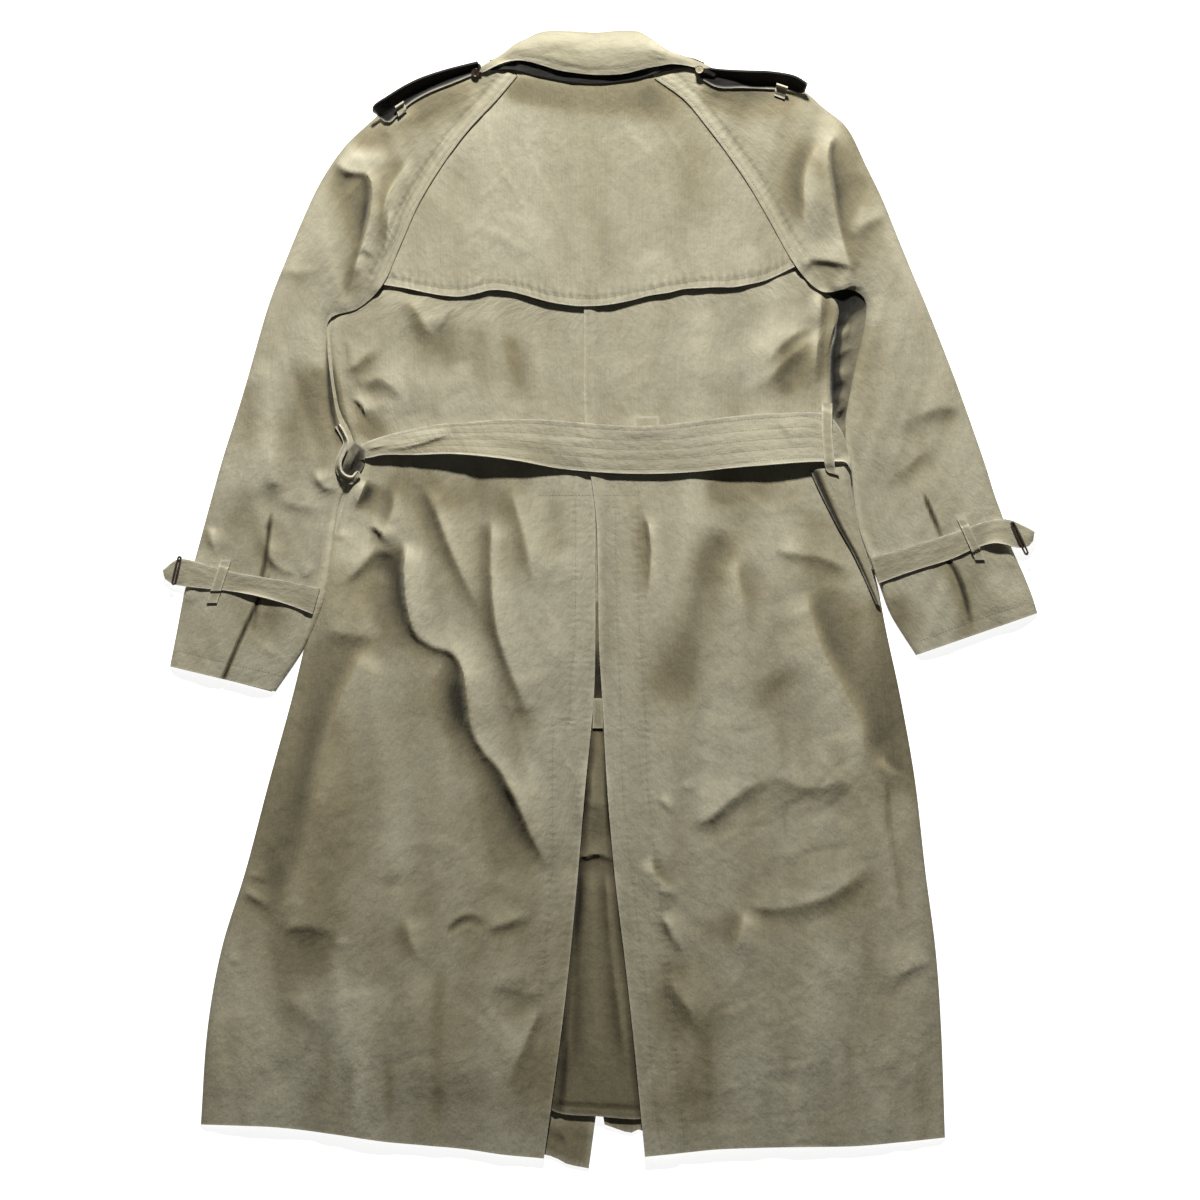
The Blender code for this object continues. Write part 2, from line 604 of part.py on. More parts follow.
def flattened(cuts, inset):
    """The under layer of a sleeve: the same edges, drawn in a little, flat on the table."""
    flat = []
    for cut in cuts:
        run = np.array([cut.second_x - cut.first_x, cut.second_y - cut.first_y])
        pull = run / np.hypot(*run) * inset
        flat.append(Cut(cut.first_x + pull[0], cut.first_y + pull[1],
                        cut.second_x - pull[0], cut.second_y - pull[1], 0, 0, 0))
    return flat


def lay_coat():
    lay_front_trim()
    lay_cuff_unders()
    lay_cloth("front_left", FRONT_LEFT, 34, 12, tone=KHAKI_SHADE)
    lay_cloth("front_right", FRONT_RIGHT, 34, 12, tone=KHAKI_SHADE)
    lay_cloth("sleeve_left_front", flattened(SLEEVE_LEFT, 1.5), 18, 3, tone=KHAKI_SHADE)
    lay_cloth("sleeve_right_front", SLEEVE_RIGHT_UNDER, 20, 3, tone=KHAKI_SHADE)
    lay_cloth("vent_gusset", VENT_GUSSET, 20, 3, tone=KHAKI_SHADE)
    vent_tab = [Cut(-7, -105, 3, -105, 7, 7, 7), Cut(-8, -137, 3, -137, 7, 7, 7)]
    lay_cloth("vent_tab", vent_tab, 3, 2, tone=KHAKI_SHADE)
    lay_button("vent_button", -2.5, -150.0, SMALL_BUTTON_ACROSS)
    lay_cloth("back_left", BACK_LEFT, 40, 14, BACK_LEFT_FOLDS, belly=6.0)
    lay_cloth("back_right", BACK_RIGHT, 40, 14, BACK_RIGHT_FOLDS, belly=4.0)
    lay_cloth("sleeve_left_back", SLEEVE_LEFT, 32, 7, SLEEVE_LEFT_FOLDS)
    lay_cloth("sleeve_right_back", SLEEVE_RIGHT, 32, 7, SLEEVE_RIGHT_FOLDS)
    lay_cloth("storm_flap", STORM_FLAP, 11, 20, FLAP_FOLDS, belly=32.0, tone=KHAKI_LIGHT)
    lay_cloth("side_pleat_right", SIDE_PLEAT, 8, 3)


def lay_belt():
    lay_cloth("belt_loop_centre", BELT_LOOP_CENTRE, 2, 3, thick=DOUBLED, tone=KHAKI_LIGHT)
    lay_cloth("belt_back", BELT_BACK, 36, 4, thick=DOUBLED, tone=KHAKI_LIGHT)
    lay_cloth("belt_turn", BELT_TURN, 5, 5, thick=DOUBLED, tone=KHAKI_LIGHT)
    lay_cloth("belt_loop_left", BELT_LOOP_LEFT, 8, 2, thick=DOUBLED, tone=KHAKI_LIGHT)
    lay_cloth("belt_loop_right", BELT_LOOP_RIGHT, 9, 2, thick=DOUBLED, tone=KHAKI_LIGHT)


def lay_cuffs():
    for side, strap, buckle, loop in (
        ("left", CUFF_STRAP_LEFT,
         [Cut(-451, 48, -447, 48, 4, 4, 4), Cut(-456, 12, -452, 12, 4, 4, 4)],
         [Cut(-405, 43, -394, 43, 9, 10, 9), Cut(-420, -3, -409, -3, 9, 10, 9)]),
        ("right", CUFF_STRAP_RIGHT,
         [Cut(433, 91, 437, 90, 7, 7, 7), Cut(448, 52, 452, 52, 6, 6, 6)],
         [Cut(381, 87, 391, 87, 9, 10, 9), Cut(401, 43, 411, 43, 9, 10, 9)]),
    ):
        lay_cloth(f"cuff_strap_{side}", strap, 14, 2, thick=DOUBLED)
        bar = lay_cloth(f"cuff_buckle_{side}", buckle, 8, 1, thick=BUCKLE_BAR)
        bar.data.materials[0] = finish_material("buckle_leather", LEATHER, 0.45)
        lay_cloth(f"cuff_loop_{side}", loop, 9, 2, tone=KHAKI_LIGHT)


def lay_collar_and_epaulettes():
    lay_cloth("collar_stand", COLLAR_STAND, 9, 4, thick=DOUBLED, tone=KHAKI_LIGHT)
    lay_cloth("collar_fall", COLLAR_FALL, 26, 9, thick=DOUBLED, tone=KHAKI_LIGHT)
    for side, strap, keeper, button_x, button_y in (
        ("left", EPAULETTE_LEFT, KEEPER_LEFT, -133.0, 563.0),
        ("right", EPAULETTE_RIGHT, KEEPER_RIGHT, 106.0, 566.0),
    ):
        lay_cloth(f"epaulette_{side}", strap, 14, 4, thick=4.0)
        lay_cloth(f"epaulette_loop_{side}", keeper, 2, 8, thick=2.2, tone=KHAKI_LIGHT)
        lay_button(f"epaulette_button_{side}", button_x, button_y, SMALL_BUTTON_ACROSS)


clear_scene()
lay_coat()
lay_belt()
lay_cuffs()
lay_collar_and_epaulettes()
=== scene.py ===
import math

import bmesh
import bpy
import numpy as np
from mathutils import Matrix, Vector
from mathutils.bvhtree import BVHTree


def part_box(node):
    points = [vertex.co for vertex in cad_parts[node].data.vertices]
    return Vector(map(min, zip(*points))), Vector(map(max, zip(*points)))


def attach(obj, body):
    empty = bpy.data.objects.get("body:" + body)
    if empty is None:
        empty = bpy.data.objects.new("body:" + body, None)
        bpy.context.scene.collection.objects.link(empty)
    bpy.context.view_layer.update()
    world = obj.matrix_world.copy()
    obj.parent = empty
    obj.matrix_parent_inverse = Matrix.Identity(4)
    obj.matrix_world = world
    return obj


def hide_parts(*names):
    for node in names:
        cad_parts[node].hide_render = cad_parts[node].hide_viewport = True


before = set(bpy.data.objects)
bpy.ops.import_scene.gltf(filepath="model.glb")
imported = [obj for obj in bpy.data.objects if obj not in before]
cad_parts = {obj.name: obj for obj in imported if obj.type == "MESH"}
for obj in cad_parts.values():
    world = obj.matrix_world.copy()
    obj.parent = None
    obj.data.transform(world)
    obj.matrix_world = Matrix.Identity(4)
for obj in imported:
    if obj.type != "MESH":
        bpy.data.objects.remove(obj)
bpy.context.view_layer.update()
print("frame loaded:", len(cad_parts), "nodes")

# Tables are in millimetres: +x to the wearer's right, +y to the collar, +z up.
mm = 0.001

camera = {
    "across": 1.284,  # metres seen across the picture
    "lens": 180.0,
    "sensor": 36.0,
    "far": 50.0,
}
studio = {
    "keyPlace": (0.0, 2.25, 1.50),
    "keyAim": (0.0, 0.10, 0.0),
    "keySize": (0.26, 0.20),
    "keyPower": 119.0,
    "keyColour": (1.0, 0.985, 0.955),
    "fillPlace": (0.0, -0.6, 7.6),
    "fillAim": (0.0, 0.0, 0.0),
    "fillSize": (3.0, 3.0),
    "fillPower": 8.0,
    "fillColour": (1.0, 1.0, 1.0),
    "air": (0.96, 0.98, 1.0, 1),
    "airStrength": 0.045,
}
floorLook = {
    "size": 9.0,
    "colour": (0.80, 0.80, 0.80, 1),
    "roughness": 0.9,
    "specular": 0.1,
    "glow": 0.86,
}


def deselectAll():
    bpy.ops.object.select_all(action="DESELECT")


def nameActive(name):
    obj = bpy.context.object
    obj.name = obj.data.name = name
    return obj


def startMaterial(name):
    material = bpy.data.materials.new(name)
    material.use_nodes = True
    return material, material.node_tree, material.node_tree.nodes["Principled BSDF"]


def addArea(name):
    lamp = bpy.data.lights.new(name, "AREA")
    lamp.shape = "RECTANGLE"
    lamp.size, lamp.size_y = studio[name + "Size"]
    lamp.energy = studio[name + "Power"]
    lamp.color = studio[name + "Colour"]
    holder = bpy.data.objects.new(name, lamp)
    place, aim = Vector(studio[name + "Place"]), Vector(studio[name + "Aim"])
    holder.location = place
    holder.rotation_euler = (aim - place).to_track_quat("-Z", "Y").to_euler()
    bpy.context.scene.collection.objects.link(holder)


def setStudio():
    scene = bpy.context.scene
    scene.view_settings.view_transform = "Standard"
    scene.view_settings.look = "None"
    eye = bpy.data.cameras.new("camera")
    eye.lens, eye.sensor_width = camera["lens"], camera["sensor"]
    eye.clip_end = camera["far"]
    holder = bpy.data.objects.new("camera", eye)
    holder.location = (0, 0, camera["across"] * camera["lens"] / camera["sensor"])
    scene.collection.objects.link(holder)
    scene.camera = holder
    addArea("key")
    addArea("fill")
    world = bpy.data.worlds.new("studioAir")
    world.use_nodes = True
    air = world.node_tree.nodes["Background"]
    air.inputs["Color"].default_value = studio["air"]
    air.inputs["Strength"].default_value = studio["airStrength"]
    scene.world = world


def layFloor():
    deselectAll()
    bpy.ops.mesh.primitive_plane_add(size=floorLook["size"], location=(0, 0, 0))
    floor = bpy.context.object
    floor.name = "floor"
    paper, tree, shader = startMaterial("paper")
    shader.inputs["Base Color"].default_value = floorLook["colour"]
    shader.inputs["Roughness"].default_value = floorLook["roughness"]
    shader.inputs["Specular IOR Level"].default_value = floorLook["specular"]
    shader.inputs["Emission Color"].default_value = (1, 1, 1, 1)
    shader.inputs["Emission Strength"].default_value = floorLook["glow"]
    floor.data.materials.append(paper)


setStudio()
layFloor()
print("studio set")


def socket(group, name, kind, way, value=None):
    made = group.interface.new_socket(name=name, in_out=way, socket_type=kind)
    if value is not None:
        made.default_value = value


def mathNode(tree, operation, *values, clamp=False):
    node = tree.nodes.new("ShaderNodeMath")
    node.operation = operation
    node.use_clamp = clamp
    for slot, value in enumerate(values):
        if isinstance(value, (int, float)):
            node.inputs[slot].default_value = value
        else:
            tree.links.new(value, node.inputs[slot])
    return node.outputs[0]


def times(tree, first, second, clamp=False):
    return mathNode(tree, "MULTIPLY", first, second, clamp=clamp)


def plus(tree, first, second, clamp=False):
    return mathNode(tree, "ADD", first, second, clamp=clamp)


def scaled(tree, value, factor, offset, clamp=False):
    return mathNode(tree, "MULTIPLY_ADD", value, factor, offset, clamp=clamp)


def mixColour(tree, factor, first, second, blend="MIX"):
    node = tree.nodes.new("ShaderNodeMix")
    node.data_type = "RGBA"
    node.blend_type = blend
    for slot, value in ((0, factor), (6, first), (7, second)):
        if isinstance(value, (int, float, tuple)):
            node.inputs[slot].default_value = value
        else:
            tree.links.new(value, node.inputs[slot])
    return node.outputs[2]


def stretchedNoise(tree, vector, scale, detail=2.0, roughness=0.5, turn=0.0):
    mapping = tree.nodes.new("ShaderNodeMapping")
    mapping.inputs["Scale"].default_value = scale
    mapping.inputs["Rotation"].default_value = (0, 0, turn)
    tree.links.new(vector, mapping.inputs["Vector"])
    noise = tree.nodes.new("ShaderNodeTexNoise")
    noise.inputs["Scale"].default_value = 1.0
    noise.inputs["Detail"].default_value = detail
    noise.inputs["Roughness"].default_value = roughness
    tree.links.new(mapping.outputs[0], noise.inputs["Vector"])
    return noise.outputs["Fac"]


def addBump(tree, height, strength, distance, under=None):
    bump = tree.nodes.new("ShaderNodeBump")
    bump.inputs["Strength"].default_value = strength
    bump.inputs["Distance"].default_value = distance
    tree.links.new(height, bump.inputs["Height"])
    if under is not None:
        tree.links.new(under, bump.inputs["Normal"])
    return bump.outputs["Normal"]


gabardineLook = {
    # brown is the cloth's second tone and, where the tone is pushed high, painted shade; worn is rubbed edges and a
    # painted highlight along them
    "green": (0.366, 0.342, 0.250, 1),
    "brown": (0.228, 0.199, 0.121, 1),
    "worn": (0.70, 0.67, 0.56, 1),
    # noises: how many of their waves a metre across and along the cloth, detail, roughness, turn
    "bands": ((13, 3.2, 1), 2.0),
    "clouds": ((30, 20, 1), 2.0),
    "streaks": ((520, 26, 1), 2.0, 0.6),
    "yarns": ((1500, 190, 1), 1.0),
    "weft": ((90, 900, 1), 1.0),
    "pebbles": ((95, 60, 1), 3.0, 0.6, 0.4),
    "pulls": ((38, 16, 1), 2.0, 0.5, -0.3),
    "puckerDrift": ((42, 42, 1), 1.0),
    "puckerSize": ((26, 33, 1), 1.0),
    # how much each of them does
    "bandTone": (1.6, -0.62),  # factor and offset
    "givenTone": 0.8,
    "cloudTone": 0.7,
    "slubs": 0.30,
    "yarnShade": 0.6,
    "weftShade": 0.35,
    # the next two paint shade and highlight into the colour from relief and from pucker ripples, and the one after
    # lightens rubbed edges with a painted highlight
    "reliefShade": 0.07,
    "puckerShade": 0.09,
    "rubbedMore": 0.25,
    "roughness": (-0.08, 0.84),  # less rough where it is browner: factor and offset
    "ribsPerMetre": 340,
    "ribSlant": -27,
    "ribWaver": 0.6,
    "ribHeight": 0.35,
    "streakHeight": 0.8,
    "puckerHeight": 0.15,
    "puckerWaves": 720.0,
    "puckerWander": 9.0,
    "puckerGrowth": 1.8,
    "weaveBump": (0.35, 0.0003),  # strength and distance
    "crumpleBump": (0.8, 0.0020),
    "specular": 0.25,
    "sheen": 0.30,
    "sheenRoughness": 0.45,
    "sheenTint": (0.95, 0.93, 0.82, 1),
}
# the tone field carries painted shade besides the cloth's own tone, the relief field is painted shade in hollows and
# painted highlight on ridges, and the wear field is rubbing with a painted edge highlight
clothFields = ("tone", "relief", "wear", "puckers")  # point attributes that the cloth reads


def puckerWave(group, vector, puckers):
    # uneven ripples beside a seam, along the cloth or across it by the sign of the mask
    look = gabardineLook
    apart = group.nodes.new("ShaderNodeSeparateXYZ")
    group.links.new(vector, apart.inputs[0])
    drift = stretchedNoise(group, vector, *look["puckerDrift"])
    size = stretchedNoise(group, vector, *look["puckerSize"])
    way = group.nodes.new("ShaderNodeMix")
    group.links.new(mathNode(group, "LESS_THAN", puckers, 0.0), way.inputs[0])
    group.links.new(apart.outputs[1], way.inputs[2])
    group.links.new(apart.outputs[0], way.inputs[3])
    phase = plus(group, times(group, way.outputs[0], look["puckerWaves"]), times(group, drift, look["puckerWander"]))
    ripple = times(group, mathNode(group, "SINE", phase), mathNode(group, "ABSOLUTE", puckers))
    return times(group, ripple, times(group, size, look["puckerGrowth"], clamp=True))


def weaveGroup():
    # twill ribs, vertical slubs, two-tone patches, painted shade and highlight from relief and puckers, and rubbed
    # edges with a painted highlight
    look = gabardineLook
    group = bpy.data.node_groups.new("gabardineWeave", "ShaderNodeTree")
    socket(group, "Vector", "NodeSocketVector", "INPUT")
    for name in ("Green", "Brown", "Worn"):
        socket(group, name, "NodeSocketColor", "INPUT", look[name.lower()])
    for name in clothFields:
        socket(group, name.capitalize(), "NodeSocketFloat", "INPUT", 0.0)
    socket(group, "Slubs", "NodeSocketFloat", "INPUT", look["slubs"])
    socket(group, "Color", "NodeSocketColor", "OUTPUT")
    for name in ("Roughness", "Height", "Crumple"):
        socket(group, name, "NodeSocketFloat", "OUTPUT")
    given = group.nodes.new("NodeGroupInput").outputs
    out = group.nodes.new("NodeGroupOutput").inputs
    noises = {name: stretchedNoise(group, given["Vector"], *look[name])
              for name in ("bands", "clouds", "streaks", "yarns", "weft", "pebbles", "pulls")}
    streaks, yarns = noises["streaks"], noises["yarns"]

    def aroundNone(name):
        return mathNode(group, "SUBTRACT", noises[name], 0.5)

    # the second tone in patches and bands, pushed by the given tone, which also carries painted shade and painted
    # light from folds, hollows and shaded corners
    tone = scaled(group, noises["bands"], *look["bandTone"])
    tone = plus(group, tone, times(group, given["Tone"], look["givenTone"]))
    tone = plus(group, tone, times(group, aroundNone("clouds"), look["cloudTone"]), clamp=True)
    colour = mixColour(group, tone, given["Green"], given["Brown"])

    slub = plus(group, aroundNone("streaks"), times(group, aroundNone("yarns"), look["yarnShade"]))
    slub = plus(group, slub, times(group, aroundNone("weft"), look["weftShade"]))
    shade = scaled(group, slub, given["Slubs"], 1.0)
    # painted shade and highlight: hollows darker, ridges lighter, and the puckers' ripples painted light and dark
    shade = plus(group, shade, times(group, given["Relief"], look["reliefShade"]))
    ladder = puckerWave(group, given["Vector"], given["Puckers"])
    shade = plus(group, shade, times(group, ladder, look["puckerShade"]))
    grey = group.nodes.new("ShaderNodeCombineColor")
    for channel in range(3):
        group.links.new(shade, grey.inputs[channel])
    colour = mixColour(group, 1.0, colour, grey.outputs[0], "MULTIPLY")
    # rubbed edges, lightened also as a painted highlight along the cut edges
    worn = times(group, given["Wear"], plus(group, streaks, look["rubbedMore"]), clamp=True)
    group.links.new(mixColour(group, worn, colour, given["Worn"]), out["Color"])
    group.links.new(scaled(group, tone, *look["roughness"]), out["Roughness"])

    ribs = group.nodes.new("ShaderNodeTexWave")
    ribs.wave_type, ribs.bands_direction = "BANDS", "X"
    ribs.inputs["Scale"].default_value = 1.0
    ribs.inputs["Distortion"].default_value = look["ribWaver"]
    turned = group.nodes.new("ShaderNodeMapping")
    turned.inputs["Rotation"].default_value = (0, 0, math.radians(look["ribSlant"]))
    turned.inputs["Scale"].default_value = [look["ribsPerMetre"]] * 3
    group.links.new(given["Vector"], turned.inputs["Vector"])
    group.links.new(turned.outputs[0], ribs.inputs["Vector"])
    height = plus(group, times(group, ribs.outputs["Fac"], look["ribHeight"]), yarns)
    group.links.new(plus(group, height, times(group, streaks, look["streakHeight"])), out["Height"])
    folded = plus(group, noises["pebbles"], noises["pulls"])
    group.links.new(plus(group, folded, times(group, ladder, look["puckerHeight"])), out["Crumple"])
    return group


weave = weaveGroup()


def gabardineMaterial(name, green=gabardineLook["green"], brown=gabardineLook["brown"],
                      slubs=gabardineLook["slubs"], sheen=gabardineLook["sheen"]):
    material, tree, shader = startMaterial(name)
    place = tree.nodes.new("ShaderNodeUVMap")
    place.uv_map = "UVMap"
    cloth = tree.nodes.new("ShaderNodeGroup")
    cloth.node_tree = weave
    cloth.inputs["Green"].default_value = green
    cloth.inputs["Brown"].default_value = brown
    cloth.inputs["Slubs"].default_value = slubs
    tree.links.new(place.outputs["UV"], cloth.inputs["Vector"])
    for field in clothFields:
        reader = tree.nodes.new("ShaderNodeAttribute")
        reader.attribute_name = field
        tree.links.new(reader.outputs["Fac"], cloth.inputs[field.capitalize()])
    waves = addBump(tree, cloth.outputs["Crumple"], *gabardineLook["crumpleBump"])
    weaveNormal = addBump(tree, cloth.outputs["Height"], *gabardineLook["weaveBump"], under=waves)
    tree.links.new(weaveNormal, shader.inputs["Normal"])
    tree.links.new(cloth.outputs["Color"], shader.inputs["Base Color"])
    tree.links.new(cloth.outputs["Roughness"], shader.inputs["Roughness"])
    shader.inputs["Specular IOR Level"].default_value = gabardineLook["specular"]
    shader.inputs["Sheen Weight"].default_value = sheen
    shader.inputs["Sheen Roughness"].default_value = gabardineLook["sheenRoughness"]
    shader.inputs["Sheen Tint"].default_value = gabardineLook["sheenTint"]
    return material


speckle = {
    "stretch": 0.4,  # along the grain
    "detail": 5.0,
    "roughness": 0.6,
    "contrast": (3.0, -1.0),  # factor and offset
    "bump": (0.3, 0.0002),  # strength and distance
}


def speckledMaterial(name, dark, light, scale, roughness, coat):
    # horn and buckle leather: cloudy grain on object coordinates
    material, tree, shader = startMaterial(name)
    place = tree.nodes.new("ShaderNodeTexCoord")
    grain = stretchedNoise(tree, place.outputs["Object"], (scale, scale * speckle["stretch"], scale),
                           speckle["detail"], speckle["roughness"])
    ramp = scaled(tree, grain, *speckle["contrast"], clamp=True)
    tree.links.new(mixColour(tree, ramp, dark, light), shader.inputs["Base Color"])
    tree.links.new(addBump(tree, grain, *speckle["bump"]), shader.inputs["Normal"])
    shader.inputs["Roughness"].default_value = roughness
    shader.inputs["Coat Weight"].default_value = coat
    return material


gabardine = gabardineMaterial("gabardine")
# darker copies of the cloth, painted shade: the first for parts lying in shade, the second near black for the collar
# stand and the epaulettes' undersides, standing for shadow
gabardineInside = gabardineMaterial("gabardineInside", (0.145, 0.132, 0.090, 1), (0.030, 0.026, 0.018, 1))
deepInside = gabardineMaterial("gabardineShade", (0.012, 0.011, 0.009, 1), (0.010, 0.009, 0.008, 1), sheen=0.0)
threadFinish = gabardineMaterial("thread", (0.33, 0.315, 0.225, 1), (0.36, 0.32, 0.22, 1))
horn = speckledMaterial("horn", (0.014, 0.008, 0.005, 1), (0.070, 0.038, 0.018, 1), 260.0, 0.28, 0.35)
paleHorn = speckledMaterial("paleHorn", (0.30, 0.25, 0.16, 1), (0.52, 0.46, 0.33, 1), 300.0, 0.35, 0.2)
leather = speckledMaterial("leather", (0.018, 0.012, 0.008, 1), (0.06, 0.042, 0.028, 1), 900.0, 0.48, 0.1)
print("finishes made")


def ease(value):
    value = np.clip(value, 0, 1)
    return value * value * (3 - 2 * value)


def tent(spot):
    # 1 at 0 and 0 from 1 on, with straight sides and a softly rounded top and foot
    lean = 1.06 - np.sqrt(spot * spot + 0.02)
    return 0.5 * (lean + np.sqrt(lean * lean + 0.01))


def hump(spot):
    return np.exp(-spot ** 2)


def turned(x, y, angle):
    return x * math.cos(angle) - y * math.sin(angle), x * math.sin(angle) + y * math.cos(angle)


def padEnds(points):
    return np.vstack([2 * points[0] - points[1], points, 2 * points[-1] - points[-2]])


def splinePoint(four, t):
    # Catmull-Rom between the second and the third of four points
    a, b, c, d = four
    curve = 2 * b + (c - a) * t + (2 * a - 5 * b + 4 * c - d) * t ** 2
    return (curve + (3 * b - 3 * c + d - a) * t ** 3) / 2


def travelAlong(line):
    return np.concatenate([[0], np.cumsum(np.hypot(*np.diff(line, axis=0).T))])


def smoothPath(points, step=6.0):
    points = np.array(points, dtype=float)
    padded = padEnds(points)
    line = []
    for k in range(len(points) - 1):
        four = padded[k:k + 4]
        count = max(1, math.ceil(np.hypot(*(four[2] - four[1])[:2]) / step))
        line += [splinePoint(four, t) for t in np.arange(count) / count]
    return np.array(line + [points[-1]])


def smoothRows(cuts, count):
    # rows through the cuts, evenly spaced by the way their middles travel
    table = np.array(cuts, dtype=float)
    travelled = travelAlong((table[:, 0:2] + table[:, 2:4]) / 2)
    padded = padEnds(table)
    rows = []
    for distance in np.linspace(0, travelled[-1], count + 1):
        span = min(np.searchsorted(travelled, distance, side="right") - 1, len(table) - 2)
        t = (distance - travelled[span]) / (travelled[span + 1] - travelled[span])
        rows.append(splinePoint(padded[span:span + 4], t))
    return np.array(rows)


def alongPath(x, y, line):
    # distance to the line, its side (left above 0), how far along it, and its length
    best = np.full(x.shape, np.inf)
    side = np.zeros(x.shape)
    place = np.zeros(x.shape)
    travelled = 0.0
    for (ax, ay), (bx, by) in zip(line[:-1], line[1:]):
        runX, runY = bx - ax, by - ay
        run = math.hypot(runX, runY) or 1e-6
        t = np.clip(((x - ax) * runX + (y - ay) * runY) / run ** 2, 0, 1)
        awayX, awayY = x - ax - t * runX, y - ay - t * runY
        away = np.hypot(awayX, awayY)
        closer = away < best
        best = np.where(closer, away, best)
        side = np.where(closer, np.sign(runX * awayY - runY * awayX), side)
        place = np.where(closer, travelled + t * run, place)
        travelled += run
    return best, side, place, travelled


def nearLine(x, y, line, reach):
    low, high = line.min(axis=0) - reach, line.max(axis=0) + reach
    return (x > low[0]) & (x < high[0]) & (y > low[1]) & (y < high[1])


noiseGrid = {"cells": 128, "shift": (400.37, 400.11)}  # the shift keeps all places above 0


def softNoise(x, y, cellX, cellY, seed):
    cells = noiseGrid["cells"]
    lattice = np.random.default_rng(seed).uniform(-1, 1, (cells, cells))
    u, v = x / cellX + noiseGrid["shift"][0], y / cellY + noiseGrid["shift"][1]
    i, j = np.floor(u).astype(int), np.floor(v).astype(int)
    fu, fv = ease(u - i), ease(v - j)
    corner = [[lattice[(i + a) % cells, (j + b) % cells] for b in (0, 1)] for a in (0, 1)]
    near = corner[0][0] + (corner[0][1] - corner[0][0]) * fv
    far = corner[1][0] + (corner[1][1] - corner[1][0]) * fv
    return near + (far - near) * fu


rumpleSizes = {"sizes": ((70, 1.0), (33, 0.5), (16, 0.22)), "long": 1.6, "turn": 0.6, "turnStep": 1.1}


def rumple(x, y, seed):
    # small unevenness of cloth that has been worn and laid down, in three sizes and their shares
    total = 0
    for octave, (size, share) in enumerate(rumpleSizes["sizes"]):
        turnedX, turnedY = turned(x, y, rumpleSizes["turn"] + rumpleSizes["turnStep"] * octave)
        total = total + share * softNoise(turnedX, turnedY, size, size * rumpleSizes["long"], seed + octave)
    return total


crumpleKinds = {
    "push": 24,  # how far the wrinkles are pushed about, and in what cells
    "pushCells": (95, 120),
    "patchCells": (80, 100),  # patches that have them
    "patchShare": (0.15, 1.4),
    "width": 0.26,
    "kinds": ((46, 120, 0.25, -1.0), (38, 90, -0.45, 0.8), (30, 64, 1.25, -0.6), (22, 52, 0.8, 0.45)),
}


def crumple(x, y, seed):
    # short soft wrinkles along the zero lines of a noise: width, length, turn and height of each kind
    look = crumpleKinds
    wide, long = look["pushCells"]
    pushX = look["push"] * softNoise(x, y, wide, long, seed + 7)
    pushY = look["push"] * softNoise(x, y, long, wide, seed + 8)
    least, more = look["patchShare"]
    total = 0
    for number, (wide, long, turn, share) in enumerate(look["kinds"]):
        turnedX, turnedY = turned(x + pushX, y + pushY, turn)
        line = softNoise(turnedX, turnedY, wide, long, seed + 20 + number)
        patch = ease(least + more * softNoise(x, y, *look["patchCells"], seed + 40 + number))
        total = total + share * patch * tent(line / look["width"])
    return total


creaseShape = {
    "seen": 3.6,  # how far from its path a crease is worked out, in reaches
    "widest": 0.3,  # widest reach, as a share of its length
    "width": (0.75, 0.5),  # width at its start and what it gains to its end, in reaches
    "fadeIn": (0.3, 24),  # longest share of its length, and mm where its reach is less
    "fadeOut": (0.55, 55),
    "swell": (0.2, 21.0, 5),  # slow swelling along it: share, wave and shift
    "strength": (1.4, 0.85),  # lines across the light stand out by themselves
    "foldFrom": 0.25,  # sharper creases are folds
    "lampY": 1100,  # the lamp lies up the table, so folds are high on that side
    "waveWidth": 1.3,
    "shoulder": 0.6,
    # reach of the tone along a soft crease: painted shade where its browning is above 0, painted light where below
    "waveTone": 1.2,
}
foldShape = {
    "crest": 0.3,  # place of the crest, in widths, as the lengths below are
    "back": 2.4,
    "foot": 2.3,
    "footDip": (1.45, 0.45),
    "blunt": 0.8,  # how much sharpness narrows the drop
    "leastDrop": 2.2,
    # painted shade on a fold's low side and a painted highlight on its crest, put into its tone
    "shade": (1.9, 1.5, 0.5),  # reach and power of the shade, and where it starts, in drops
    "shine": (0.35, 0.6),  # place and reach of the paler crest
    "tones": (1.5, 0.3),  # how strongly shade and shine change the tone
}


def foldAcross(spot, wide, sharp):
    # height, painted shade and painted shine across a fold, which is high where the spot is above 0
    look = foldShape
    drop = np.maximum((1.0 - look["blunt"] * sharp) * wide, look["leastDrop"])
    high, dip = look["footDip"]
    foot = high * hump(spot / drop) - dip * tent(spot / (look["foot"] * wide))
    height = np.where(spot > 0, tent(spot / (look["back"] * wide)), foot)
    under = np.maximum(-spot, 0)
    reach, power, start = look["shade"]
    shade = np.exp(-(under / (reach * wide)) ** power) * (1 - hump(under / (start * drop)))
    place, reach = look["shine"]
    return height, shade, hump((spot - place * wide) / (reach * wide))


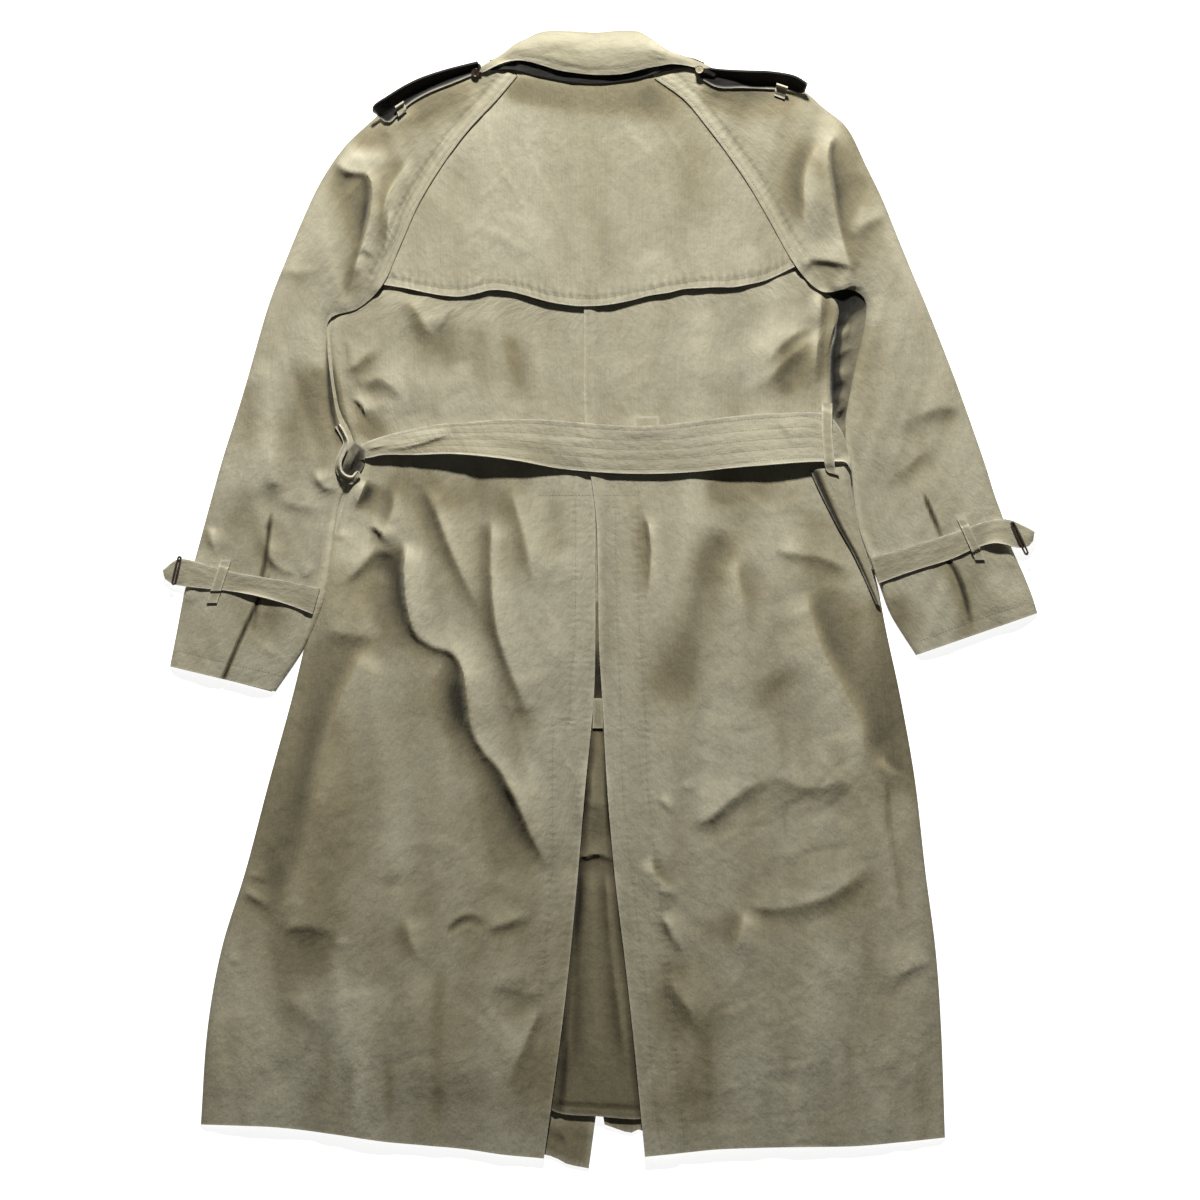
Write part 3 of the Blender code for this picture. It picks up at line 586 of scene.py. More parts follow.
def creaseField(x, y, creases):
    # each crease: path, rise, reach, how sharp, side, browning with painted shade; a sharp one is a fold, high on its
    # side (left of the path above 0), painted shade on the other and a painted highlight on its crest; a soft one has
    # a shoulder
    look = creaseShape
    height, browning = np.zeros_like(x), np.zeros_like(x)
    for path, rise, reach, sharp, side, brown in creases:
        line = smoothPath(path)
        near = nearLine(x, y, line, look["seen"] * reach)
        if not near.any():
            continue
        away, hand, place, length = alongPath(x[near], y[near], line)
        widest = look["widest"] * length
        reach, rise = min(reach, widest), rise * min(1, widest / reach)
        wide = reach * (look["width"][0] + look["width"][1] * place / length)
        share, least = look["fadeIn"]
        fade = ease(place / min(share * length, max(least, reach)))
        share, least = look["fadeOut"]
        fade = fade * ease((length - place) / min(share * length, max(least, reach)))
        share, wave, shift = look["swell"]
        fade = fade * (1 + share * np.sin(place / wave + rise * shift))
        runs = np.gradient(line, axis=0)
        across = np.interp(place, travelAlong(line), np.abs(runs[:, 0]) / np.hypot(runs[:, 0], runs[:, 1]))
        strength = look["strength"][0] - look["strength"][1] * across
        if rise < 0 and sharp > look["foldFrom"]:
            if side == 0:
                middle = line.mean(axis=0)
                runX, runY = line[-1] - line[0]
                side = 1 if runY * middle[0] + runX * (look["lampY"] - middle[1]) > 0 else -1
            spot = away * hand * side - foldShape["crest"] * wide
            fold, shade, shine = foldAcross(spot, wide, sharp)
            darker, paler = foldShape["tones"]
            height[near] -= strength * fade * rise * fold
            browning[near] += fade * (darker * strength * brown * shade - paler * abs(brown) * shine)
        else:
            wave = tent(away / (look["waveWidth"] * wide))
            edge = hump((away - look["waveWidth"] * wide) / (look["shoulder"] * wide))
            height[near] += strength * fade * (rise * wave + side * edge)
            browning[near] += brown * fade * hump(away / (look["waveTone"] * wide))
    return height, browning


sewnShape = {
    "seen": 2.5,  # how far from its path a seam is worked out, in reaches
    "groove": 2.2,  # half width of the sewn groove
    "bandSeen": 6,  # how far past its width a doubled band is worked out
    "bandPast": 1.2,
    "bandSlope": 2.4,
    "bandRound": 1.5,
}


def seamField(x, y, seams):
    # each seam: path, depth of the sewn groove, strength and reach of its puckers; puckers are
    # above 0 where they follow the length of the cloth and below 0 where they follow its width
    height, puckers = np.zeros_like(x), np.zeros_like(x)
    for path, groove, pucker, reach in seams:
        line = smoothPath(path)
        near = nearLine(x, y, line, sewnShape["seen"] * reach)
        if not near.any():
            continue
        away = alongPath(x[near], y[near], line)[0]
        puckers[near] += pucker * hump(away / reach)
        height[near] -= groove * hump(away / sewnShape["groove"])
    return height, np.clip(puckers, -1, 1)


def bandField(x, y, bands):
    # each band: path, side of it, width and height of the doubled cloth there
    height = np.zeros_like(x)
    for path, bandSide, width, lift in bands:
        line = smoothPath(path)
        near = nearLine(x, y, line, width + sewnShape["bandSeen"])
        if not near.any():
            continue
        away, side = alongPath(x[near], y[near], line)[:2]
        within = ease((width + sewnShape["bandPast"] - away) / sewnShape["bandSlope"])
        height[near] += lift * (within * ease(away / sewnShape["bandRound"])) * (side == bandSide)
    return height


# What is already laid, as the height of its top in a raster of the table.
cell = 1.5
halfX, halfY = 501.0, 640.5
laidTop = np.zeros((int(2 * halfX / cell), int(2 * halfY / cell)))


def finer(grid, count):
    places = np.arange((grid.shape[0] - 1) * count + 1) / count
    low = np.minimum(places.astype(int), grid.shape[0] - 2)
    part = (places - low)[:, None]
    return grid[low] * (1 - part) + grid[low + 1] * part


def rememberTop(x, y, z):
    widest = max(np.hypot(np.diff(x, axis=a), np.diff(y, axis=a)).max() for a in (0, 1))
    count = max(1, math.ceil(widest / (0.8 * cell)))  # no cell of the raster is stepped over
    x, y, z = (finer(finer(grid, count).T, count).T for grid in (x, y, z))
    column = ((x + halfX) / cell).astype(int).ravel()
    row = ((y + halfY) / cell).astype(int).ravel()
    np.maximum.at(laidTop, (column, row), z.ravel())


def blurred(grid, cells):
    for axis in (0, 1):
        total = grid.copy()
        for shift in range(1, cells + 1):
            total = total + np.roll(grid, shift, axis) + np.roll(grid, -shift, axis)
        grid = total / (2 * cells + 1)
    return grid


def groundUnder(x, y, softness):
    # top of what is laid, widened and then softened by the same reach, so it is never cut
    reach = max(1, round(softness / cell))
    raised = laidTop
    for axis in (0, 1):
        widest = raised
        for shift in range(1, 2 * (reach // 2) + 2):
            widest = np.maximum(widest, np.maximum(np.roll(raised, shift, axis), np.roll(raised, -shift, axis)))
        raised = widest
    if reach > 1:
        raised = blurred(blurred(raised, reach // 2), reach // 2)
    u, v = (x + halfX) / cell - 0.5, (y + halfY) / cell - 0.5
    i, j = np.floor(u).astype(int), np.floor(v).astype(int)
    fu, fv = u - i, v - j
    near = raised[i, j] * (1 - fv) + raised[i, j + 1] * fv
    far = raised[i + 1, j] * (1 - fv) + raised[i + 1, j + 1] * fv
    return near * (1 - fu) + far * fu


def boxMean(grid, reach):
    # mean over a window that shrinks at the rim of the grid
    padded = np.pad(grid, reach, mode="edge")
    for axis in (0, 1):
        total = np.cumsum(padded, axis=axis)
        total = np.concatenate([np.zeros_like(np.take(total, [0], axis)), total], axis)
        high = np.take(total, np.arange(2 * reach + 1, total.shape[axis]), axis)
        low = np.take(total, np.arange(0, total.shape[axis] - 2 * reach - 1), axis)
        padded = (high - low) / (2 * reach + 1)
    return padded


def finishMesh(obj, material, angle=40):
    obj.data.materials.clear()
    obj.data.materials.append(material)
    deselectAll()
    obj.select_set(True)
    bpy.context.view_layer.objects.active = obj
    bpy.ops.object.shade_smooth_by_angle(angle=math.radians(angle))
    obj.select_set(False)


laid = {}  # finished cloth pieces by name
sheetFacts = {}  # their cut sizes and what they lie on

layForm = {
    "lowest": 0.05,
    "table": 0.1,  # height of the cloth's underside over the bare table
    "bare": 0.02,  # ground below this is bare table
    "rollFade": 0.06,  # share of the length over which a rolled edge starts and stops
    "drapeFine": (0.5, 0.45, 0.6),  # share, width and length of the finer drape
    "drapeTone": 0.12,
}
# painted shade and highlight from the cloth's relief: hollows darker and ridges lighter, and darker still where the
# tone is browned past brownFrom
reliefForm = {
    "fineReach": 4,  # cells of the grid
    "fineLimit": 1.5,
    "hollowReach": 14,
    "hollowShare": 0.55,
    "hollowLimits": (-2.6, 1.6),
    "brownFrom": 0.7,
    "brownShade": 3.0,
    "darkest": -12,
    "edgeTaper": 0.6,
}


def clothPlan(piece):
    # where the cloth lies on the table, and how far each place is from each of its edges
    # each cut: x and y of the first edge and of the second, then height at the first, middle and second
    sections = smoothRows(piece["cuts"], piece["rows"])[:, None, :]
    across = np.linspace(0, 1, piece["columns"] + 1)
    crowd = piece.get("crowd", 0.0)  # above 0, columns crowd towards the first edge
    across = ((1 - crowd) * across + crowd * across ** 2)[None, :]
    down = np.linspace(0, 1, piece["rows"] + 1)[:, None]
    x = sections[..., 0] + (sections[..., 2] - sections[..., 0]) * across
    y = sections[..., 1] + (sections[..., 3] - sections[..., 1]) * across
    y = y - piece.get("belly", 0.0) * down ** 2 * 4 * across * (1 - across)
    if "lastLine" in piece:
        goal = smoothPath(piece["lastLine"], 3.0)
        goal = goal[np.argsort(goal[:, 0])]
        lack = np.interp(x[-1], goal[:, 0], goal[:, 1]) - y[-1]
        start = piece.get("lastFrom", 0.7)
        y = y + lack[None, :] * ease((down - start) / (1 - start))
    width = np.hypot(sections[..., 2] - sections[..., 0], sections[..., 3] - sections[..., 1])
    length = np.hypot(np.diff(x, axis=0), np.diff(y, axis=0)).sum(axis=0).mean()
    edges = {"first": across * width, "second": (1 - across) * width,
             "start": down * length + 0 * x, "end": (1 - down) * length + 0 * x}
    places = np.stack([(across - 0.5) * width, -down * length + 0 * x], axis=-1)
    return sections[..., 4:7], across, down, x, y, edges, places


def drapeField(piece, x, y):
    # slow folds of a hanging panel: swing, width, length and turn
    swing, wide, long, turn = piece["drape"]
    share, fineWide, fineLong = layForm["drapeFine"]
    turnedX, turnedY = turned(x, y, turn)
    swung = swing * softNoise(turnedX, turnedY, wide, long, piece["seed"] + 70)
    fine = softNoise(turnedX, turnedY, fineWide * wide, fineLong * long, piece["seed"] + 71)
    return swung + share * swing * fine


def flatSize(points):
    # how far the cloth runs across and down, and its area
    runs = []
    for axis in (1, 0):
        steps = np.diff(points, axis=axis)
        runs.append(np.sqrt(steps[..., 0] ** 2 + steps[..., 1] ** 2 + steps[..., 2] ** 2).sum(axis=axis).max())
    legA, legB = points[1:, :-1] - points[:-1, :-1], points[:-1, 1:] - points[:-1, :-1]
    legC, legD = points[1:, :-1] - points[1:, 1:], points[:-1, 1:] - points[1:, 1:]
    halves = [np.linalg.norm(np.cross(*legs), axis=-1).sum() for legs in ((legA, legB), (legC, legD))]
    wide, long = (round(run * mm, 3) for run in runs)
    return (wide, long), round(min(sum(halves) / 2 * mm * mm, 0.999 * wide * long), 5)


def clothMesh(name, points, places, fields):
    # a grid with the given points, their places on the flat cloth and their fields
    rows, columns = points.shape[0] - 1, points.shape[1] - 1
    deselectAll()
    bpy.ops.mesh.primitive_grid_add(x_subdivisions=columns, y_subdivisions=rows, size=1.0)
    obj = nameActive(name)
    mesh = obj.data
    made = np.empty(len(mesh.vertices) * 3)
    mesh.vertices.foreach_get("co", made)
    made = made.reshape(-1, 3)
    column = np.rint((made[:, 0] + 0.5) * columns).astype(int)
    row = rows - np.rint((made[:, 1] + 0.5) * rows).astype(int)
    mesh.vertices.foreach_set("co", (points[row, column] * mm).ravel())
    corner = np.empty(len(mesh.loops), dtype=int)
    mesh.loops.foreach_get("vertex_index", corner)
    mesh.uv_layers[0].name = "UVMap"
    mesh.uv_layers[0].data.foreach_set("uv", (places * mm)[row, column][corner].ravel())
    for field, values in zip(clothFields, fields):
        layer = mesh.attributes.new(field, "FLOAT", "POINT")
        layer.data.foreach_set("value", values[row, column].astype(np.float32))
    mesh.update()
    facing = np.empty(len(mesh.polygons) * 3)
    mesh.polygons.foreach_get("normal", facing)
    if facing.reshape(-1, 3)[:, 2].mean() < 0:
        mesh.flip_normals()
    return obj


def layCloth(piece):
    # a thin wall of cloth on the form its table gives, over whatever already lies there
    heights, across, down, x, y, edges, places = clothPlan(piece)
    first, middle, second = heights[..., 0], heights[..., 1], heights[..., 2]
    power = piece.get("fall", 3)
    z = middle + (first - middle) * np.clip(1 - 2 * across, 0, 1) ** power
    z = z + (second - middle) * np.clip(2 * across - 1, 0, 1) ** power
    creased, tone = creaseField(x, y, piece.get("creases", ()))
    sewn, puckers = seamField(x, y, piece.get("seams", ()))
    doubled = bandField(x, y, piece.get("bands", ()))
    rough = piece.get("rumple", 0.5) * rumple(x, y, piece["seed"])
    rough = rough + piece.get("crumple", 0.0) * crumple(x, y, piece["seed"])
    if "drape" in piece:
        # the drape also paints shade into its troughs and light onto its ridges through the tone
        swung = drapeField(piece, x, y)
        rough, tone = rough + swung, tone - layForm["drapeTone"] * swung
    z = z + piece.get("depth", 1.0) * creased + rough
    ground = groundUnder(x, y, piece.get("softness", 9.0))
    ground = np.where(ground > layForm["bare"], ground + piece.get("clearance", 0.3), layForm["table"])
    z = 0.5 * (z + ground + np.sqrt((z - ground) ** 2 + piece.get("meet", 1.2) ** 2)) + doubled + sewn
    for edge, reach, low, start, stop in piece.get("rolls", ()):
        away = np.clip(edges[edge] / reach, 0, 1)
        rolled = low + (z - low) * np.sqrt(np.clip(1 - (1 - away) ** 2, 0, 1))
        share = ease((down - start) / layForm["rollFade"]) * ease((stop - down) / layForm["rollFade"])
        z = z + (rolled - z) * share
    z = np.maximum(z, layForm["lowest"])

    # painted shade in fine and broad hollows, painted highlight on ridges
    limit = reliefForm["fineLimit"]
    relief = np.clip(z - boxMean(z, reliefForm["fineReach"]), -limit, limit)
    hollow = reliefForm["hollowShare"] * (z - boxMean(z, reliefForm["hollowReach"]))
    relief = relief + np.clip(hollow, *reliefForm["hollowLimits"])
    # painted shadow along one edge, for the dark gap beside it
    if "edgeShade" in piece:
        edge, reach, dark = piece["edgeShade"]
        tone = tone + dark * np.exp(-(edges[edge] / (reach * (1 - reliefForm["edgeTaper"] * down))) ** 4)
    # painted shade: cloth whose tone is browned past brownFrom is painted darker still
    browned = reliefForm["brownShade"] * np.maximum(tone - reliefForm["brownFrom"], 0)
    relief = np.maximum(relief - browned, reliefForm["darkest"])
    # rubbing and a painted highlight along the worn edges
    nearestEdge = np.min([edges[edge] + 0 * x for edge in piece.get("wornEdges", edges)], axis=0)
    wear = piece.get("wear", 0.35) * hump(nearestEdge / piece.get("wearReach", 1.6))

    points = np.stack([x, y, z], axis=-1)
    thick = piece.get("thick", 1.6)
    fields = (tone + piece.get("tone", 0.0), relief, wear, puckers)
    obj = clothMesh(piece["name"], points + (0, 0, thick), places, fields)
    wall = obj.modifiers.new("wall", "SOLIDIFY")
    wall.thickness = thick * mm
    wall.offset = -1
    wall.use_rim = True
    bpy.ops.object.modifier_apply(modifier="wall")
    finishMesh(obj, piece.get("finish", gabardine))
    rememberTop(x, y, z + thick)
    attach(obj, "root")
    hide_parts(*piece["replaces"])
    laid[piece["name"]] = obj
    flat, area = flatSize(points)
    sheetFacts[piece["name"]] = {"flat": flat, "area": area, "restsOn": piece["restsOn"], "with": []}


stitch = {
    "long": 2.3,
    "wide": 0.55,
    "high": 0.4,
    "pitch": 3.5,
    "above": 0.08,  # its middle over the cloth
    "ahead": 0.6,  # how far ahead along the path it points
    "castFrom": 0.2,  # metres over the table
}


def sewOn(hostName, name, seams):
    # single thread stitches along the path of each seam, set on the host's top
    surface = BVHTree.FromObject(laid[hostName], bpy.context.evaluated_depsgraph_get())
    deselectAll()
    bpy.ops.mesh.primitive_ico_sphere_add(subdivisions=1, radius=1.0)
    obj = nameActive(name)
    seed = obj.data
    shape = np.empty(len(seed.vertices) * 3)
    seed.vertices.foreach_get("co", shape)
    shape = shape.reshape(-1, 3) * (stitch["long"] / 2, stitch["wide"] / 2, stitch["high"] / 2)
    faces = np.array([list(face.vertices) for face in seed.polygons])
    corners, sides = [], []
    for seam in seams:
        line = smoothPath(seam[0], 1.0)
        travelled = travelAlong(line)
        for place in np.arange(stitch["pitch"] / 2, travelled[-1], stitch["pitch"]):
            x, y = (np.interp(place, travelled, line[:, k]) for k in (0, 1))
            aheadX, aheadY = (np.interp(place + stitch["ahead"], travelled, line[:, k]) for k in (0, 1))
            above = Vector((x * mm, y * mm, stitch["castFrom"]))
            hit, normal = surface.ray_cast(above, Vector((0, 0, -1)))[:2]
            if hit is None:
                continue
            run = np.array([aheadX - x, aheadY - y, 0.0])
            if not run.any():
                run = np.array([*(line[-1] - line[-2]), 0.0])
            up = np.array(normal)
            run = run - up * (run @ up)
            run = run / np.linalg.norm(run)
            centre = np.array(hit) / mm + up * stitch["above"]
            sides.append(faces + len(corners) * len(shape))
            corners.append(centre + shape @ np.array([run, np.cross(up, run), up]))
    sewn = bpy.data.meshes.new(name)
    sewn.from_pydata((np.concatenate(corners) * mm).tolist(), [], np.concatenate(sides).tolist())
    sewn.uv_layers.new(name="UVMap")
    obj.data = sewn
    bpy.data.meshes.remove(seed)
    finishMesh(obj, threadFinish, 80)
    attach(obj, "root")
    sheetFacts[hostName]["with"].append(obj)


def tint(path, reach, brown):
    # a crease that only changes the tone, browner and darker above 0 and paler below: painted shade and painted
    # light, partly the cloth's own browner bands
    return path, 0, reach, 0, 0, brown


def onTable(cuts):
    # cuts of a piece that is spread flat
    return [(*cut, 0, 0, 0) for cut in cuts]


def ribbon(path, width, drop, heights):
    # cuts of a strip along a path, standing so that its second edge lies lower by the drop
    line = np.array(path, dtype=float)
    run = np.gradient(line, axis=0)
    run = run / np.hypot(run[:, 0], run[:, 1])[:, None]
    off = np.stack([-run[:, 1], run[:, 0]], axis=1) * width / 2
    return [(*(spot + way), *(spot - way), z, z - drop / 2, z - drop)
            for spot, way, z in zip(line, off, heights)]


underLook = {"restsOn": ["table"], "thick": 2.4, "rumple": 0.1}
leafLook = {**underLook, "rows": 40, "columns": 24, "softness": 6}
strapUnderLook = {**underLook, "rows": 50, "columns": 10, "softness": 3}
beltFront = {
    "name": "beltFront", "replaces": ["belt_front"], "seed": 11,
    **underLook, "rows": 130, "columns": 12, "softness": 3,
    "cuts": onTable([(-262, 179, -262, 133), (-141, 178, -141, 128), (-2, 175, -2, 126), (137, 178, 137, 128),
                     (258, 180, 258, 133)]),
}
collarLeafLeft = {
    "name": "collarLeafLeft", "replaces": ["collar_leaf_left"], "seed": 12, **leafLook,
    "cuts": [(-98, 584, -128, 569, 3, 4, 3), (-66, 567, -124, 537, 1, 1, 1), (-34, 524, -103, 492, 0, 0, 0),
             (-12, 471, -66, 452, 0, 0, 0)],
}
collarLeafRight = {
    "name": "collarLeafRight", "replaces": ["collar_leaf_right"], "seed": 13, **leafLook,
    "cuts": [(95, 578, 122, 567, 3, 4, 3), (63, 567, 114, 535, 1, 1, 1), (30, 524, 98, 492, 0, 0, 0),
             (11, 471, 63, 452, 0, 0, 0)],
}
strapUnderLeft = {
    "name": "cuffStrapUnderLeft", "replaces": ["cuff_strap_under_left"], "seed": 14, **strapUnderLook,
    "cuts": onTable([(-434, 38, -440, 14), (-375, 24, -388, 0), (-316, 8, -324, -16)]),
}
strapUnderRight = {
    "name": "cuffStrapUnderRight", "replaces": ["cuff_strap_under_right"], "seed": 15, **strapUnderLook,
    "cuts": onTable([(426, 76, 434, 50), (366, 62, 376, 36), (304, 36, 312, 10)]),
}
frontLeft = {
    "name": "frontLeft", "replaces": ["front_left"], "seed": 21,
    "restsOn": ["table", "beltFront", "collarLeafLeft"],
    "rows": 170, "columns": 50, "rumple": 0.4, "softness": 9, "tone": -0.1,
    "cuts": onTable([(-2, 492, -84, 546), (63, 455, -144, 491), (88, 396, -196, 409), (95, 332, -229, 337),
                     (95, 278, -288, 300), (95, 214, -292, 241), (95, 171, -288, 186), (94, 128, -280, 139),
                     (86, 43, -286, 64), (57, -171, -338, -160), (39, -278, -368, -268), (21, -385, -399, -374),
                     (4, -492, -415, -482), (-12, -608, -420, -554)]),
    "lastLine": [(-420, -554), (-342, -560), (-231, -572), (-145, -582), (-60, -593), (-36, -603), (-12, -608)],
    "creases": [([(-40, -600), (-32, -585), (-30, -560)], 2.0, 6, 0.2, 0, 0.2),
                ([(-90, -572), (-52, -573), (-30, -575), (20, -578)], -1.0, 2.6, 0, 0, 2.5),
                # painted shade on the hem that shows under the back panels
                tint([(-100, -590), (-30, -590), (40, -590)], 36, 1.4)],
}
frontRight = {
    "name": "frontRight", "replaces": ["front_right"], "seed": 22,
    "restsOn": ["table", "frontLeft", "beltFront"],
    "rows": 160, "columns": 50, "rumple": 0.4, "softness": 9, "tone": -0.1,
    "cuts": onTable([(-12, 492, 54, 544), (-77, 455, 114, 498), (-100, 401, 169, 419), (-108, 342, 204, 357),
                     (-109, 289, 246, 315), (-109, 235, 242, 265), (-109, 182, 243, 207), (-108, 128, 258, 137),
                     (-100, 43, 275, 54), (-69, -171, 324, -160), (-49, -278, 339, -268),
                     (-28, -385, 353, -374), (-8, -482, 360, -482), (5, -563, 363, -569)]),
    # painted shade on the hem that shows under the back panels
    "creases": [tint([(-60, -566), (20, -562), (100, -566)], 26, 1.3)],
    "lastLine": [(5, -561), (32, -570), (43, -566), (60, -572), (130, -580), (250, -577), (363, -569)],
}
sleeveLeftTable = [
    (-88, 560, -124, 571, 9, 9, 6), (-112, 532, -157, 561, 9, 10, 4), (-141, 501, -189, 548, 9, 11, 3),
    (-170, 462, -218, 535, 9, 12, 2), (-194, 422, -246, 511, 9, 13, 2), (-213, 379, -274, 484, 9, 13, 2),
    (-232, 337, -299, 447, 9, 12, 2), (-258, 312, -318, 407, 7, 11, 2), (-288, 301, -335, 366, 4, 10, 2),
    (-291, 273, -355, 314, 3, 10, 2), (-282, 205, -380, 227, 2, 10, 2), (-271, 171, -392, 188, 2, 10, 2),
    (-269, 131, -404, 150, 2, 10, 2), (-280, 91, -416, 107, 2, 10, 2), (-289, 19, -434, 41, 2, 9, 2),
    (-299, -17, -444, 11, 2, 8, 2), (-318, -55, -452, -30, 2, 8, 2), (-347, -98, -460, -71, 2, 7, 2),
]
sleeveRightTable = [
    (58, 557, 105, 571, 9, 9, 6), (89, 535, 137, 561, 9, 10, 4), (112, 508, 175, 554, 9, 11, 3),
    (135, 478, 209, 550, 9, 12, 2), (159, 443, 240, 526, 9, 13, 2), (180, 407, 265, 504, 9, 13, 2),
    (208, 358, 285, 464, 9, 12, 2), (236, 330, 302, 429, 8, 12, 2), (266, 332, 319, 387, 6, 11, 2),
    (283, 321, 335, 348, 5, 10, 2), (283, 294, 351, 310, 4, 10, 2), (271, 241, 381, 233, 4, 10, 2),
    (261, 180, 409, 154, 4, 10, 2), (267, 139, 422, 113, 3, 10, 2), (273, 86, 431, 88, 2, 10, 2),
    (285, 48, 439, 59, 2, 9, 2), (298, 18, 452, 30, 2, 8, 2), (311, -16, 462, 5, 2, 8, 2),
    (338, -59, 468, -14, 2, 7, 2),
]
sleeveLeftFront = {
    "name": "sleeveLeftFront", "replaces": ["sleeve_left_front"], "restsOn": ["table", "cuffStrapUnderLeft"],
    "seed": 23, "rows": 120, "columns": 26, "rumple": 0.2, "softness": 5,
    "cuts": [(ax + reach, ay, bx + 5, by, 0, 0, 0) for reach, (ax, ay, bx, by) in zip(
        (0, 0, 0, 0, 0, 0, 4, 8, 12, 12, 12, 12, 8, 4, -3, -4, -4, -4), (cut[:4] for cut in sleeveLeftTable))],
}
sleeveRightFront = {
    "name": "sleeveRightFront", "replaces": ["sleeve_right_front"], "restsOn": ["table", "cuffStrapUnderRight"],
    "seed": 24, "rows": 200, "columns": 56, "rumple": 0.8, "crumple": 2.4, "softness": 5,
    # a darker copy of the cloth, painted shade for the armpit gap
    "finish": gabardineMaterial("gabardineArmpit", (0.170, 0.155, 0.105, 1), (0.030, 0.026, 0.018, 1)),
    "depth": 1.4, "creases": [
        # the first two paint the shadow at the armpit's top and along the body's edge
        ([(244, 296), (262, 316), (290, 336)], -2, 9, 0, 0, 8),
        ([(262, 330), (254, 302), (250, 280), (247, 262), (248, 238), (251, 190)], -1, 6, 0, 0, 6),
        ([(250, 279), (266, 288), (281, 290)], 5, 9, 0, 0, -1),
        ([(251, 292), (266, 300), (282, 303)], -4, 7, 0.4, 0, 0.5),
        ([(248, 257), (262, 264), (275, 274)], -4, 8, 0.5, 0, 0.5),
        ([(249, 243), (262, 243), (273, 246)], 4, 8, 0, 0, -1),
        ([(248, 226), (259, 233), (270, 235)], -4, 7, 0.5, 0, 0.5),
        ([(250, 210), (259, 220), (269, 224)], 4, 8, 0, 0, -1),
        ([(253, 195), (258, 203), (264, 210)], -4, 6, 0.5, 0, 0.5),
        ([(262, 310), (273, 316), (283, 318)], 4, 8, 0, 0, -1),
    ],
    "cuts": onTable([(58, 555, 102, 567), (112, 506, 168, 550), (159, 441, 233, 522), (208, 356, 278, 460),
                     (238, 326, 296, 424), (250, 308, 313, 384), (251, 284, 329, 345), (246, 262, 345, 308),
                     (246, 222, 374, 232), (250, 170, 402, 154), (264, 132, 415, 112), (276, 86, 424, 87),
                     (290, 48, 432, 58), (303, 18, 445, 29), (316, -16, 455, 3), (343, -57, 461, -16)]),
}
ventGusset = {
    "name": "ventGusset", "replaces": ["vent_gusset"], "restsOn": ["frontLeft", "frontRight"], "seed": 25,
    # a darker copy of the cloth, painted shade for the gusset deep in the vent
    "rows": 220, "columns": 44, "rumple": 0.35, "softness": 6, "finish": gabardineMaterial(
        "gabardineGusset", (0.168, 0.148, 0.090, 1), (0.130, 0.108, 0.062, 1)),
    "cuts": [(-19, 0, 16, 0, 5, 5, 5), (-23, -107, 22, -107, 5, 5, 5), (-38, -268, 35, -268, 4, 5, 4),
             (-54, -428, 50, -428, 4, 5, 4), (-66, -548, 63, -538, 3, 4, 3)],
    "lastLine": [(-66, -536), (-42, -549), (-2, -552), (41, -555), (63, -548)], "lastFrom": 0.9,
    "creases": [
        ([(-34, -272), (-18, -276), (-2, -273), (16, -279), (30, -277)], -5, 8, 0.6, 0, 1.3),
        ([(4, -140), (6, -205), (9, -268)], -3, 6, 0.5, -1, 1.0),
        ([(-12, -170), (-7, -225), (-15, -268)], 2.5, 7, 0, 0, -0.8),
        ([(-18, -210), (-6, -222), (12, -216)], -1.6, 7, 0.4, 0, 0.6),
        ([(5, -290), (11, -370), (20, -440), (30, -520)], -2.4, 8, 0.4, 1, 0.9),
        ([(-24, -285), (-27, -400), (-34, -530)], -2.5, 9, 0.3, 0, 0.9),
        ([(-8, -285), (-5, -420), (2, -550)], 2.4, 11, 0, 0, -1.1),
        # painted shadow along the edges of the plackets over it
        tint([(-4, -40), (-5, -110), (-14, -203), (-22, -297), (-31, -391), (-42, -482), (-59, -600)], 4.5, 4),
        tint([(0, -60), (3, -118), (8, -204), (16, -297), (26, -380), (36, -471), (50, -600)], 4, 3),
        ([(-5, -130), (-8, -200), (-14, -262)], 1.5, 7, 0.2, 0, -0.9),
        ([(-40, -466), (-45, -520), (-52, -575)], 2, 5, 0, 0, -0.6),
        ([(-34, -462), (-39, -515), (-46, -575)], -1.6, 3, 0, 0, 2.5),
        ([(-60, -537), (-20, -540), (20, -541), (70, -545)], -0.8, 2.4, 0, 0, 2.2),
    ],
    "seams": [([(-42, -539), (-2, -542), (41, -545)], 0.5, 0.16, 7)],
}
ventTab = {
    "name": "ventTab", "replaces": ["vent_tab"], "restsOn": ["ventGusset"], "seed": 26,
    "rows": 20, "columns": 10, "rumple": 0.1, "softness": 2,
    # its tone is raised as painted shade
    "tone": 0.5, "cuts": [(-7, -105, 3, -105, 7, 7, 7), (-8, -137, 3, -137, 7, 7, 7)],
}
for piece in (beltFront, collarLeafLeft, collarLeafRight, strapUnderLeft, strapUnderRight,
              frontLeft, frontRight, sleeveLeftFront, sleeveRightFront, ventGusset, ventTab):
    layCloth(piece)
print("under layers laid")


buttonForm = {
    "sides": 48,
    "rim": 0.12,  # shares of its radius: rim, foot, ring of holes and their size
    "foot": 0.97,
    "holeRing": 0.22,
    "holeSize": 0.09,
    "holes": 4,
    "holeSides": 12,
    "dish": 0.30,  # shares of its thickness
    "rounding": 0.22,
    "under": 0.1,  # mm between it and the cloth
}


